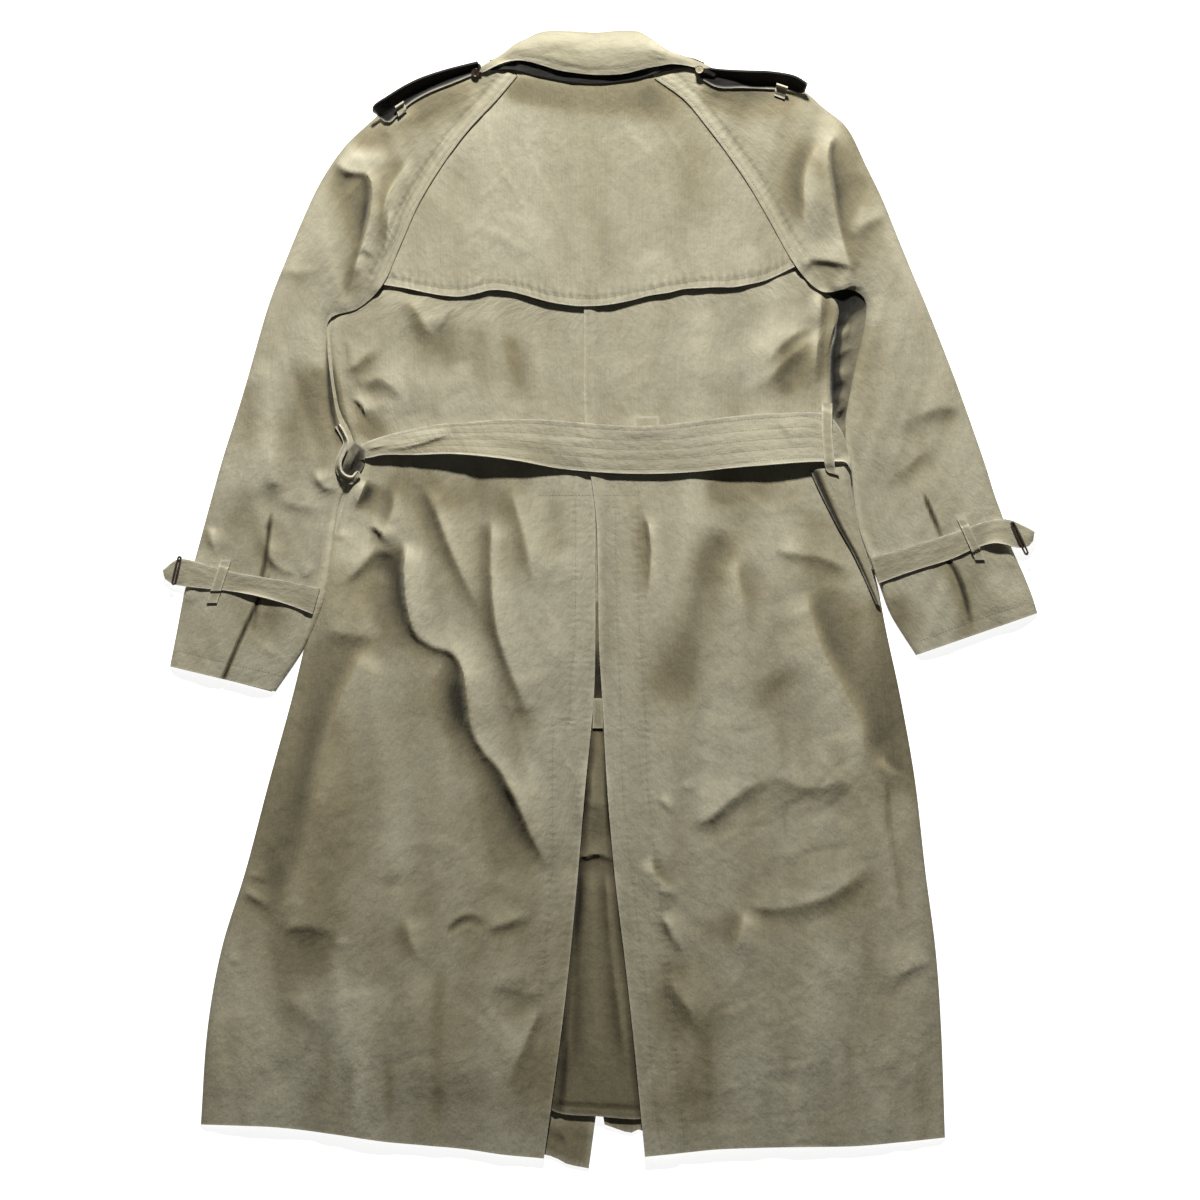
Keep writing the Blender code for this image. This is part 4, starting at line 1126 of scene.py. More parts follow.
def layButton(button):
    # a turned button with a raised rim and four holes
    form = buttonForm
    deselectAll()
    radius, thick = button["across"] / 2, button["thick"]
    low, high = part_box(button["replaces"])
    moved = button.get("moved", (0, 0))
    x, y = (low[0] + high[0]) / 2 / mm + moved[0], (low[1] + high[1]) / 2 / mm + moved[1]
    base = max(float(groundUnder(np.array([x]), np.array([y]), 2.0)[0]) + form["under"], form["under"])
    bpy.ops.mesh.primitive_cylinder_add(vertices=form["sides"], radius=radius, depth=thick)
    obj = nameActive(button["name"])
    work = bmesh.new()
    work.from_mesh(obj.data)
    for deep in (0.0, -form["dish"] * thick):
        crown = [face for face in work.faces if face.normal.z > 0.9 and len(face.verts) > 4]
        bmesh.ops.inset_region(work, faces=crown, thickness=radius * form["rim"], depth=deep)
    for vert in work.verts:
        if math.hypot(vert.co.x, vert.co.y) > 0.98 * radius:
            vert.co.x *= form["foot"]
            vert.co.y *= form["foot"]
    work.to_mesh(obj.data)
    work.free()
    soften = obj.modifiers.new("soften", "BEVEL")
    soften.width, soften.segments, soften.limit_method = form["rounding"] * thick, 3, "ANGLE"
    soften.angle_limit = math.radians(35)
    bpy.ops.object.modifier_apply(modifier="soften")
    for k in range(form["holes"]):
        angle = math.pi / 4 + k * math.pi / 2
        ring = radius * form["holeRing"]
        bpy.ops.mesh.primitive_cylinder_add(
            vertices=form["holeSides"], radius=radius * form["holeSize"], depth=thick * 3,
            location=(ring * math.cos(angle), ring * math.sin(angle), 0))
        drill = bpy.context.object
        bpy.context.view_layer.objects.active = obj
        hole = obj.modifiers.new("hole", "BOOLEAN")
        hole.operation, hole.object, hole.solver = "DIFFERENCE", drill, "EXACT"
        bpy.ops.object.modifier_apply(modifier="hole")
        bpy.data.objects.remove(drill, do_unlink=True)
    for vert in obj.data.vertices:
        vert.co = (vert.co + Vector((x, y, base + thick / 2))) * mm
    finishMesh(obj, button["finish"], 35)
    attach(obj, "root")
    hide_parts(button["replaces"])
    angles = np.linspace(0, 2 * math.pi, 24)
    rings = np.linspace(0, 1, 5)[:, None] * radius
    rememberTop(x + rings * np.cos(angles), y + rings * np.sin(angles), base + thick + 0 * rings * angles)


layButton({"name": "ventButton", "replaces": "vent_button", "across": 15.0, "thick": 2.6, "finish": horn,
           "moved": (19, 4)})
for node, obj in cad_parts.items():
    if node.startswith("front_button") or node == "belt_buckle":
        for place in obj.material_slots:
            place.material = leather if node == "belt_buckle" else horn
print("hidden buttons and buckle finished")


backLook = {
    "restsOn": ["frontLeft", "frontRight", "ventGusset"], "rows": 390, "columns": 112, "crowd": 0.35,
    "rumple": 0.55, "crumple": 1.0, "clearance": 0.5, "lastFrom": 0.9, "wornEdges": ["first", "end"],
    "rolls": [("second", 11.0, 0.4, 0.12, 1.1)],  # edge, reach, low, from and to as shares of its length
}
backLeft = {
    "name": "backLeft", "replaces": ["back_left"], **backLook,
    "seed": 31, "drape": (1.4, 34, 210, -0.12), "belly": 6.0,
    "cuts": [(-13, 552, -88, 556, 9, 9, 9), (-13, 487, -149, 491, 9, 10, 8), (-13, 407, -201, 409, 9, 10, 8),
             (-13, 334, -232, 337, 9, 9, 7), (-13, 297, -286, 300, 8, 9, 3), (-13, 257, -289, 257, 8, 9, 2),
             (-13, 209, -282, 209, 8, 10, 2), (-12, 171, -267, 171, 9, 9, 3), (-9, 135, -263, 139, 8, 7, 3),
             (-5, 92, -279, 92, 8, 11, 2), (-5, 32, -295, 32, 9, 15, 2), (-5, -43, -313, -37, 9, 17, 2),
             (-7, -110, -330, -107, 8, 17, 2), (-16, -203, -355, -198, 8, 16, 2),
             (-24, -297, -379, -289, 7, 16, 2), (-33, -391, -405, -374, 7, 15, 2),
             (-44, -482, -420, -460, 7, 13, 2), (-60, -597, -427, -561, 5, 6, 2)],
    "lastLine": [(-427, -561), (-385, -562), (-342, -564), (-286, -571), (-231, -579), (-188, -583),
                 (-145, -587), (-103, -593), (-60, -597)],
    "creases": [
        # the tone-only entries and the folds' browning paint shade and light, such as the shadow under the belt,
        # beside the cloth's browner bands
        tint([(-170, -380), (-174, -490), (-177, -600)], 8, 0.6),
        tint([(-224, -480), (-226, -540), (-229, -600)], 5, 0.5),
        tint([(-292, -460), (-294, -520), (-298, -590)], 6, 0.4),
        ([(-252, -470), (-256, -530), (-260, -590)], 0.8, 8, 0, 0, -0.5),
        ([(-62, -432), (-78, -470), (-104, -530)], -2, 8, 0.3, 0, 0.8),
        tint([(-292, -110), (-300, -250), (-302, -430)], 34, 0.8),
        tint([(-266, 196), (-245, 184), (-215, 180)], 11, 1.2),
        tint([(-293, 40), (-262, -10), (-240, -90)], 34, 0.8),
        tint([(-130, 306), (-124, 250), (-120, 188)], 15, 0.6),
        tint([(-100, 296), (-90, 245), (-84, 190)], 10, 0.9),
        tint([(-286, 60), (-300, -60), (-315, -160)], 30, 0.6),
        tint([(-175, 130), (-180, 80), (-190, 30)], 26, 0.6),
        ([(-268, 214), (-259, 212), (-253, 202), (-252, 188)], -5, 6, 0.6, 0, 1),
        ([(-228, 333), (-204, 314), (-189, 283)], -3, 14, 0.3, -1, 0.7),
        # painted shadow under the belt
        tint([(-240, 126), (-150, 116), (-60, 110)], 22, 1.3),
        tint([(-75, -470), (-72, -530), (-74, -594)], 30, 0.7),
        ([(-208, 66), (-211, 42), (-211, 16), (-207, -14), (-198, -38), (-178, -52), (-159, -58), (-149, -76),
          (-145, -108), (-140, -138), (-127, -162), (-109, -184), (-92, -216), (-79, -247), (-65, -274),
          (-52, -296)], -6.5, 14, 0.7, 1, 1.5),
        tint([(-158, -78), (-150, -116), (-136, -156)], 16, 1.2),
        ([(-189, 123), (-178, 98), (-164, 61), (-149, 27), (-134, -3), (-129, -26)], -4, 12, 0.5, 1, 0.9),
        ([(-116, 87), (-118, 46), (-116, 4), (-112, -30), (-102, -63), (-89, -97), (-78, -122), (-70, -131)], -4.5,
         11, 0.6, 1, 0.9),
        ([(-93, -112), (-78, -135), (-59, -140)], -3, 12, 0.2, 0, 0.8),
        ([(-97, 121), (-91, 98), (-82, 68), (-75, 31), (-69, -1)], -3, 14, 0.5, 1, 0.7),
        ([(-250, 77), (-240, 76), (-233, 67), (-230, 56)], -5, 6, 0.7, 1, 1),
        ([(-236, 62), (-245, 46), (-256, 32), (-269, 21), (-282, 12)], -4, 9, 0.55, -1, 0.7),
        ([(-229, 53), (-231, 34), (-237, 19)], -4, 11, 0, 0, 0.9),
        ([(-221, 125), (-222, 98), (-230, 76), (-241, 57)], -3, 9, 0.5, 1, 0.6),
        ([(-295, -27), (-279, -36), (-256, -39), (-226, -37)], -4, 14, 0.3, 1, 0.7),
        ([(-251, -47), (-261, -66), (-272, -89), (-281, -107), (-295, -150), (-306, -198), (-312, -241), (-324, -288),
          (-345, -329), (-374, -353)], -5, 20, 0.35, 1, 1),
        ([(-383, -310), (-362, -324), (-343, -335)], -3.5, 8, 0.5, 0, 0.5),
        ([(-376, -294), (-364, -298), (-351, -300)], -2.5, 6, 0.5, 1, 0.3),
        ([(-345, -353), (-307, -350), (-266, -360)], -3.5, 12, 0.4, 1, 0.8),
        ([(-331, -365), (-307, -372), (-283, -369)], -2, 12, 0, 0, 0.5),
        ([(-285, -367), (-274, -365), (-265, -370)], 1.5, 5, 0, 0, -0.5),
        ([(-165, -359), (-152, -347), (-137, -342), (-126, -353)], -4, 5, 0, 1.5, 1),
        ([(-126, -353), (-102, -347), (-68, -333)], -4, 11, 0.5, 1, 0.8),
        ([(-208, -336), (-202, -365), (-188, -393)], -3, 11, 0.3, 1, 0.7),
        ([(-238, -310), (-214, -302), (-190, -307)], -3, 11, 0.2, 0, 0.5),
        ([(-295, -264), (-283, -274), (-269, -272)], -2, 12, 0, 0, 0.5),
        ([(-398, -385), (-383, -388)], -2, 5, 0.4, 1, 0.3),
        ([(-248, 130), (-253, 112), (-265, 93)], -6, 7, 0.7, 0, 3.0),
        ([(-286, 69), (-277, 67), (-269, 74)], -3, 5, 0.5, 0, 0.8),
        ([(-269, 86), (-277, 21), (-285, -54)], 3, 26, 0, 0, -0.5),
        ([(-336, -420), (-301, -455), (-277, -468)], -3, 17, 0.3, 0, 0.2),
        ([(-205, -399), (-184, -455), (-178, -551)], 2.4, 34, 0, 0, 0.2),
        ([(-130, -423), (-141, -482), (-146, -546)], 2, 40, 0, 0, -0.3),
        ([(-248, -401), (-253, -482), (-258, -551)], 2.2, 30, 0, 0, -0.2),
        ([(-398, -428), (-408, -498), (-411, -546)], 1.8, 26, 0, 0, 0.4),
        ([(-98, -401), (-87, -444), (-77, -471)], -2.4, 20, 0.2, 0, 0.5),
        ([(-269, -495), (-273, -567)], -0.64, 7, 0.2, 0, 0.12),
        ([(-255, -498), (-257, -570)], 0.64, 8, 0.2, 0, 0),
        ([(-231, -487), (-228, -575)], -0.64, 8, 0.2, 0, 0.18),
        ([(-195, -490), (-192, -577)], -0.72, 9, 0.2, 0, 0.18),
        ([(-162, -503), (-159, -580)], 0.6, 10, 0.2, 0, 0),
        ([(-302, -508), (-305, -564)], -0.52, 7, 0.2, 0, 0.12),
        ([(-279, 250), (-264, 247), (-245, 263), (-223, 268)], -6.9, 12, 0.5, 0, 0.9),
        ([(-258, 220), (-239, 235), (-223, 226), (-201, 200)], -5.6, 13, 0.5, 0, 0.9),
        ([(-242, 218), (-226, 207), (-208, 193)], 3, 16, 0, 0, -0.4),
        ([(-213, 328), (-195, 304), (-180, 280), (-161, 274)], -5.6, 15, 0.4, 0, 1),
        ([(-180, 303), (-169, 264), (-161, 221)], -2.5, 24, 0.1, 0, 0.8),
        ([(-289, 262), (-284, 230), (-276, 195), (-262, 165)], -2.5, 4, 0, 0, 3),
        ([(-278, 235), (-267, 200), (-259, 178)], -3.5, 5, 0.2, 0, 0.3),
        ([(-151, 257), (-144, 221)], 2, 22, 0, 0, -0.4),
        tint([(-330, -60), (-330, -300), (-300, -520)], 120, 0.35),
        tint([(-180, -60), (-180, -250), (-180, -420)], 110, 0.25),
        tint([(-60, -200), (-80, -400), (-90, -590)], 90, 0.4),
        ([(-28, 182), (-32, 139), (-36, 86)], 1.5, 20, 0, 0, -0.4),
        ([(-40, 60), (-44, -20), (-52, -110)], 1.5, 22, 0, 0, -0.5),
    ],
    "seams": [
        ([(-26, 108), (-26, 32), (-27, -43), (-31, -81), (-32, -131)], 0.4, 0.4, 6),
        ([(-32, -131), (-48, -131), (-50, -150), (-51, -218), (-51, -290), (-64, -422), (-70, -464)], 0.5, 0.4, 5),
        ([(-11, 100), (-11, 0), (-14, -110), (-23, -215), (-30, -317), (-46, -450), (-60, -559)], 0.2, 0.3, 5),
        ([(-66, 112), (-40, 112), (-9, 112)], 0.3, -0.2, 6),
        ([(-419, -541), (-342, -543), (-231, -558), (-145, -567), (-64, -575)], 0.1, -0.2, 9),
    ],
    "bands": [([(-5, 134), (-5, 43), (-5, -43), (-7, -110), (-18, -215), (-23, -317), (-39, -450), (-60, -597)],
               -1, 22, 0.5)],
}
backRight = {
    "name": "backRight", "replaces": ["back_right"], **backLook,
    "seed": 41, "drape": (1.3, 34, 210, 0.08), "belly": 4.0,
    "cuts": [(-17, 552, 58, 554, 9, 9, 9), (-17, 492, 119, 498, 9, 10, 8), (-17, 412, 174, 419, 9, 10, 8),
             (-17, 353, 209, 357, 9, 9, 7), (-17, 310, 254, 317, 8, 9, 3), (-17, 265, 247, 265, 8, 9, 2),
             (-17, 209, 249, 207, 8, 10, 2), (-15, 171, 258, 171, 9, 9, 3), (-10, 135, 266, 137, 8, 7, 3),
             (-4, 86, 274, 86, 8, 11, 2), (-2, 27, 294, 27, 9, 15, 2), (-1, -43, 307, -37, 9, 17, 2),
             (3, -118, 322, -107, 9, 17, 2), (8, -204, 337, -193, 9, 16, 2), (16, -297, 348, -289, 9, 16, 2),
             (26, -380, 359, -374, 8, 15, 2), (36, -471, 365, -460, 8, 13, 2), (48, -596, 369, -574, 6, 6, 2)],
    "lastLine": [(49, -595), (89, -591), (130, -587), (200, -585), (269, -584), (319, -580), (368, -575)],
    "creases": [
        # the tone-only entries and the folds' browning paint shade and light, such as the shadow under the belt,
        # beside the cloth's browner bands
        tint([(112, -450), (117, -520), (120, -600)], 6, 0.5),
        tint([(196, -470), (200, -530), (204, -600)], 5, 0.4),
        tint([(262, -450), (268, -520), (272, -590)], 6, 0.4),
        tint([(228, -190), (242, -235), (240, -290)], 26, -0.6),
        tint([(110, -470), (190, -500), (290, -480)], 55, -0.45),
        tint([(205, 290), (200, 250), (190, 215)], 24, 0.7),
        # painted shadow under the belt
        tint([(100, 116), (180, 118), (245, 112)], 22, 1.2),
        tint([(80, -370), (84, -480), (86, -596)], 26, 0.8),
        tint([(240, 110), (238, 30), (240, -70)], 28, 0.8),
        ([(43, 93), (50, 81), (53, 48), (51, 12), (48, -15)], -3.5, 7, 0.7, 1, 0.9),
        ([(137, 79), (118, 39), (106, -6), (92, -51), (83, -82), (76, -141)], -2.5, 22, 0, 0, 1.3),
        ([(150, 48), (148, 25), (154, -2), (162, -26)], -3, 13, 0.45, -1, 0.7),
        ([(154, 102), (154, 70), (150, 48)], -2, 20, 0, 0, 0.6),
        ([(183, 57), (204, 48), (230, 45), (262, 32), (284, 19)], -4.5, 12, 0.55, 1, 0.8),
        ([(220, 11), (230, -20), (244, -60), (264, -96), (282, -132), (289, -161), (311, -179), (334, -188)], -5.5,
         22, 0.5, -1, 1.2),
        ([(300, -165), (313, -181), (334, -188)], -4, 6, 0.7, -1, 1),
        ([(224, -72), (201, -85), (181, -102), (165, -134)], -3, 13, 0, 0, 0.8),
        ([(307, -188), (309, -241), (317, -286), (327, -354)], -1.2, 3.5, 0, 0, 0.6),
        ([(92, -240), (116, -235), (141, -214), (165, -198), (188, -191), (217, -202), (253, -198), (278, -176)], -5,
         18, 0.45, 1, 0.6),
        ([(61, -211), (70, -219), (78, -230)], -2.5, 5, 0.5, 0, 0.4),
        ([(85, -197), (96, -202), (107, -199)], -2, 5, 0.4, 0, 0.3),
        ([(51, -272), (64, -298), (87, -316)], -3.5, 8, 0.6, -1, 0.8),
        ([(58, -313), (74, -314), (89, -319)], -2, 5, 0.5, 1, 0.3),
        ([(64, -333), (76, -358), (92, -385)], -3.5, 9, 0.5, 0, 0.6),
        ([(155, -326), (181, -331), (217, -327), (246, -317), (273, -299), (294, -276)], -4.5, 16, 0.5, 1, 0.8),
        ([(155, -328), (148, -356), (137, -385)], -4, 15, 0.45, 1, 0.8),
        ([(196, -219), (199, -255), (206, -278)], -0.8, 3, 0, 0, 0.2),
        ([(206, -274), (244, -265), (276, -260)], -0.8, 3, 0, 0, 0.2),
        ([(68, -399), (89, -433), (114, -471)], -4, 14, 0.4, 0, 0.5),
        ([(360, -384), (330, -396), (302, -418)], -3.5, 12, 0.4, 0, 0.2),
        ([(57, -524), (68, -588)], -0.64, 8, 0.2, 0, 0.18),
        ([(89, -508), (93, -586)], 0.72, 9, 0.2, 0, 0.06),
        ([(175, -511), (178, -581)], -0.68, 9, 0.2, 0, 0.18),
        ([(202, -503), (207, -581)], 0.6, 9, 0.2, 0, 0),
        ([(239, -482), (251, -578)], -0.72, 10, 0.2, 0, 0.18),
        ([(309, -471), (315, -572)], 0.68, 12, 0.2, 0, 0.12),
        ([(341, -482), (347, -570)], -0.6, 10, 0.2, 0, 0.24),
        ([(233, 293), (209, 283), (188, 264), (175, 244)], -6.9, 13, 0.5, 0, 1),
        ([(229, 279), (202, 257), (180, 235), (145, 214)], -5, 16, 0.4, 0, 1),
        ([(235, 296), (233, 257), (229, 221)], -5, 10, 0.3, 0, 1),
        ([(236, 332), (237, 307), (233, 282)], -3.8, 7, 0.3, 0, 1),
        ([(184, 282), (159, 260), (134, 228)], 3, 22, 0, 0, -0.4),
        ([(202, 235), (195, 210)], -2, 18, 0.1, 0, 0.6),
        ([(109, 314), (116, 264), (113, 218)], 2, 24, 0, 0, -0.4),
        tint([(200, -150), (200, -350), (200, -580)], 120, 0.35),
        ([(300, 20), (325, -120), (335, -230)], -2, 34, 0, 0, 1.3),
        ([(105, 289), (95, 246), (90, 209)], 1.8, 30, 0, 0, -0.5),
    ],
    "seams": [
        ([(16, 108), (18, 0), (22, -118), (25, -214), (39, -334), (50, -432), (58, -536), (66, -588)], 0.4, 0.3, 5),
        ([(41, 118), (41, 0), (48, -118), (52, -214), (66, -334), (77, -432), (85, -536), (93, -588)], 0.5, 0.4, 6),
        ([(3, 112), (20, 112), (40, 112)], 0.3, -0.2, 6),
        ([(97, -566), (130, -562), (269, -559), (360, -549)], 0.1, -0.2, 9),
        ([(-12, 304), (-11, 257), (-12, 197)], 0.5, 0.19, 8),
    ],
    "bands": [([(-4, 86), (3, -118), (7, -214), (21, -334), (32, -432), (40, -536), (48, -596)], 1, 36, 0.5)],
}
layCloth(backLeft)
layCloth(backRight)
sewOn("backLeft", "backLeftStitches", backLeft["seams"][:2] + backLeft["seams"][3:4])
sewOn("backRight", "backRightStitches", backRight["seams"][:3])
print("back panels laid")


stormFlap = {
    "name": "stormFlap", "replaces": ["storm_flap"], "restsOn": ["backLeft", "backRight"], "seed": 71,
    "rows": 112, "columns": 190, "drape": (0.9, 50, 120, 0.0), "rumple": 0.45, "crumple": 0.9,
    "clearance": 0.4, "meet": 0.7, "fall": 4,
    "cuts": [(-80, 575, 52, 574, 10, 11, 10), (-90, 559, 61, 557, 10, 12, 10), (-115, 532, 92, 534, 10, 13, 10),
             (-151, 491, 121, 498, 10, 13, 10), (-179, 450, 152, 457, 10, 13, 10),
             (-203, 409, 176, 419, 10, 13, 10), (-220, 368, 193, 388, 10, 13, 10),
             (-233, 337, 208, 356, 10, 14, 10)],
    "lastLine": [(-233, 337), (-208, 333), (-185, 328), (-167, 325), (-150, 324), (-133, 327), (-116, 331),
                 (-99, 330), (-82, 326), (-65, 321), (-48, 317), (-26, 314), (-5, 314), (14, 316), (34, 320),
                 (53, 325), (73, 328), (90, 332), (108, 333), (125, 334), (142, 334), (159, 337), (176, 341),
                 (192, 348), (208, 356)],
    "lastFrom": 0.35, "wornEdges": ["end"], "wear": 0.5,
    "creases": [
        # painted shadow below the collar's fall
        tint([(-110, 549), (-60, 541), (-20, 536), (20, 536), (60, 541), (100, 549)], 15, 1.8),
        ([(-157, 482), (-145, 428), (-141, 385)], -2.2, 34, 0, 0, 0.5),
        ([(118, 503), (120, 441), (127, 385)], -2.2, 34, 0, 0, 0.5),
        ([(-83, 488), (-12, 490), (63, 488)], -0.5, 4, 0.5, 0, 0),
        ([(-66, 417), (-87, 374), (-109, 337)], 1.4, 26, 0, 0, -0.4),
        ([(41, 374), (63, 353), (95, 338)], 1.6, 22, 0.1, 0, -0.3),
        ([(-194, 374), (-184, 355), (-177, 337)], 1.8, 20, 0.1, 0, -0.3),
        ([(170, 380), (161, 362), (154, 342)], 1.8, 20, 0.1, 0, -0.3),
        ([(-109, 524), (-119, 503), (-141, 482)], 1, 20, 0, 0, -0.3),
        ([(-180, 330), (-150, 320), (-90, 326)], 1.6, 20, 0, 0, 0),
        ([(34, 542), (66, 524), (100, 506)], -2, 14, 0, 0, 1),
        ([(-20, 312), (10, 314), (50, 322)], 0.8, 20, 0, 0, 0),
        ([(90, 330), (130, 330), (185, 344)], 1.6, 20, 0, 0, 0),
    ],
    "seams": [
        ([(-226, 345), (-185, 336), (-150, 332), (-116, 339), (-82, 334), (-48, 325), (-5, 322), (34, 328),
          (73, 336), (108, 341), (142, 342), (176, 349), (203, 362)], 0.7, -1, 8),
        ([(-92, 556), (-115, 530), (-150, 490), (-178, 449), (-201, 408), (-217, 368)], 0.4, 0.22, 6),
        ([(60, 552), (89, 530), (117, 496), (148, 455), (171, 418), (188, 388)], 0.4, 0.22, 6),
    ],
}
layCloth(stormFlap)
sewOn("stormFlap", "stormFlapStitches", stormFlap["seams"][:1])
print("storm flap laid")


sleeveLook = {
    "rows": 280, "columns": 76, "thick": 1.1, "depth": 1.15, "rumple": 0.7, "crumple": 0.6, "meet": 0.4,
    "clearance": 0.1, "softness": 7, "wornEdges": ["end"],
    "rolls": [("second", 10.0, 0.4, -0.1, 1.1), ("first", 9.0, 0.6, 0.44, 1.1)],
}
raglanLeft = [(-88, 560), (-112, 532), (-149, 491), (-177, 450), (-201, 409), (-218, 368), (-232, 337)]
raglanRight = [(58, 557), (89, 535), (119, 498), (150, 457), (174, 419), (191, 388), (208, 358)]
sleeveLeft = {
    "name": "sleeveLeft", "replaces": ["sleeve_left_back"],
    "restsOn": ["sleeveLeftFront", "backLeft", "stormFlap"], **sleeveLook, "seed": 51, "drape": (1.4, 26, 150, -0.3),
    "cuts": sleeveLeftTable,
    "creases": [
        # the tone-only entries and the folds' browning paint shade and light on the sleeve
        tint([(-330, 205), (-340, 160), (-335, 100)], 26, 0.6),
        ([(-244, 435), (-247, 416), (-251, 397), (-256, 375), (-262, 356), (-268, 332), (-274, 307)], -3, 7, 0.6, 1,
         0.8),
        # painted shadow along the body's edge
        tint([(-290, 285), (-289, 245), (-286, 205), (-278, 175), (-268, 150)], 2.6, 6),
        # painted shade along the epaulette
        tint([(-215, 520), (-180, 535), (-120, 556)], 18, 2),
        tint([(-380, 60), (-340, 52), (-300, 44)], 24, 0.5),
        ([(-286, 471), (-271, 456), (-252, 453), (-246, 441), (-247, 415), (-253, 386), (-259, 367)], -6, 13, 0.65, 1,
         1.6),
        ([(-199, 475), (-216, 453), (-228, 431), (-233, 405), (-235, 381)], -4, 9, 0.5, 1, 0.9),
        ([(-225, 419), (-229, 386), (-234, 360)], -3, 6, 0.6, 1, 0.7),
        ([(-278, 496), (-252, 489), (-223, 493), (-199, 496)], -3, 16, 0, 0, 1.1),
        ([(-277, 475), (-247, 473), (-214, 478), (-196, 478)], 3, 9, 0, 0, -0.8),
        ([(-260, 369), (-252, 373), (-239, 363)], -3, 5, 0.5, 1, 0.5),
        ([(-260, 357), (-264, 338), (-270, 312)], -3, 8, 0, 0, 1.2),
        ([(-352, 354), (-326, 350), (-290, 352)], -2.5, 12, 0.3, 1, 0.4),
        ([(-282, 458), (-276, 432), (-276, 400)], -1, 15, 0, 0, 0.5),
        ([(-228, 506), (-205, 514), (-182, 525), (-153, 539)], -2, 12, 0.3, 0, 0.6),
        # painted shade beside the body's edge
        tint([(-298, 262), (-298, 215), (-292, 168), (-296, 120)], 20, 1.2),
        ([(-346, 110), (-328, 101), (-306, 98), (-290, 96)], -3, 11, 0.4, 1, 0.4),
        ([(-359, 74), (-352, 78), (-346, 76)], -2, 7, 0, 0, 0.6),
        ([(-356, 70), (-354, 50), (-347, 37), (-333, 29), (-312, 22)], -3, 9, 0.45, 1, 0.5),
        ([(-319, 23), (-311, 29), (-300, 39)], -2, 8, 0.3, 0, 0.3),
        ([(-346, 128), (-351, 106), (-355, 87)], -3, 12, 0.2, 0, 0.6),
        ([(-362, 262), (-355, 221), (-352, 168), (-358, 96)], 1.8, 17, 0, 0, -0.6),
        ([(-378, 246), (-374, 193), (-382, 130)], -1.5, 17, 0.1, 0, 0.8),
        ([(-330, 262), (-322, 214), (-326, 150)], -1.5, 20, 0.1, 0, 0.6),
        ([(-305, 141), (-301, 126), (-290, 118), (-267, 120)], -4, 10, 0.5, 0, 0.2),
        ([(-350, 98), (-353, 80), (-357, 46), (-362, 20), (-372, -40)], -1, 1.8, 0, 0, 4),
        ([(-378, 130), (-387, 89), (-394, 45)], -1.6, 18, 0.1, 0, 0.7),
        ([(-418, 80), (-416, 64), (-410, 46)], -2.5, 7, 0.3, 0, 0.5),
        ([(-352, 30), (-366, -2), (-385, -43), (-402, -83), (-424, -138)], -1.2, 1.5, 0, 0, 7),
        tint([(-362, 10), (-352, -25), (-345, -70)], 26, 1),
    ],
    "seams": [
        ([(-92, 562), (-116, 534), (-153, 493), (-181, 452), (-205, 411), (-222, 370), (-236, 340)], 0.3, 0.24, 6),
        ([(-100, 563), (-125, 540), (-162, 499), (-191, 457), (-215, 415), (-232, 374), (-245, 346)], 0.6, 0.6, 6),
        ([(-332, -83), (-388, -70), (-452, -54)], 0.25, -0.2, 6),
    ],
    "bands": [(raglanLeft, -1, 14, 0.4)],
}
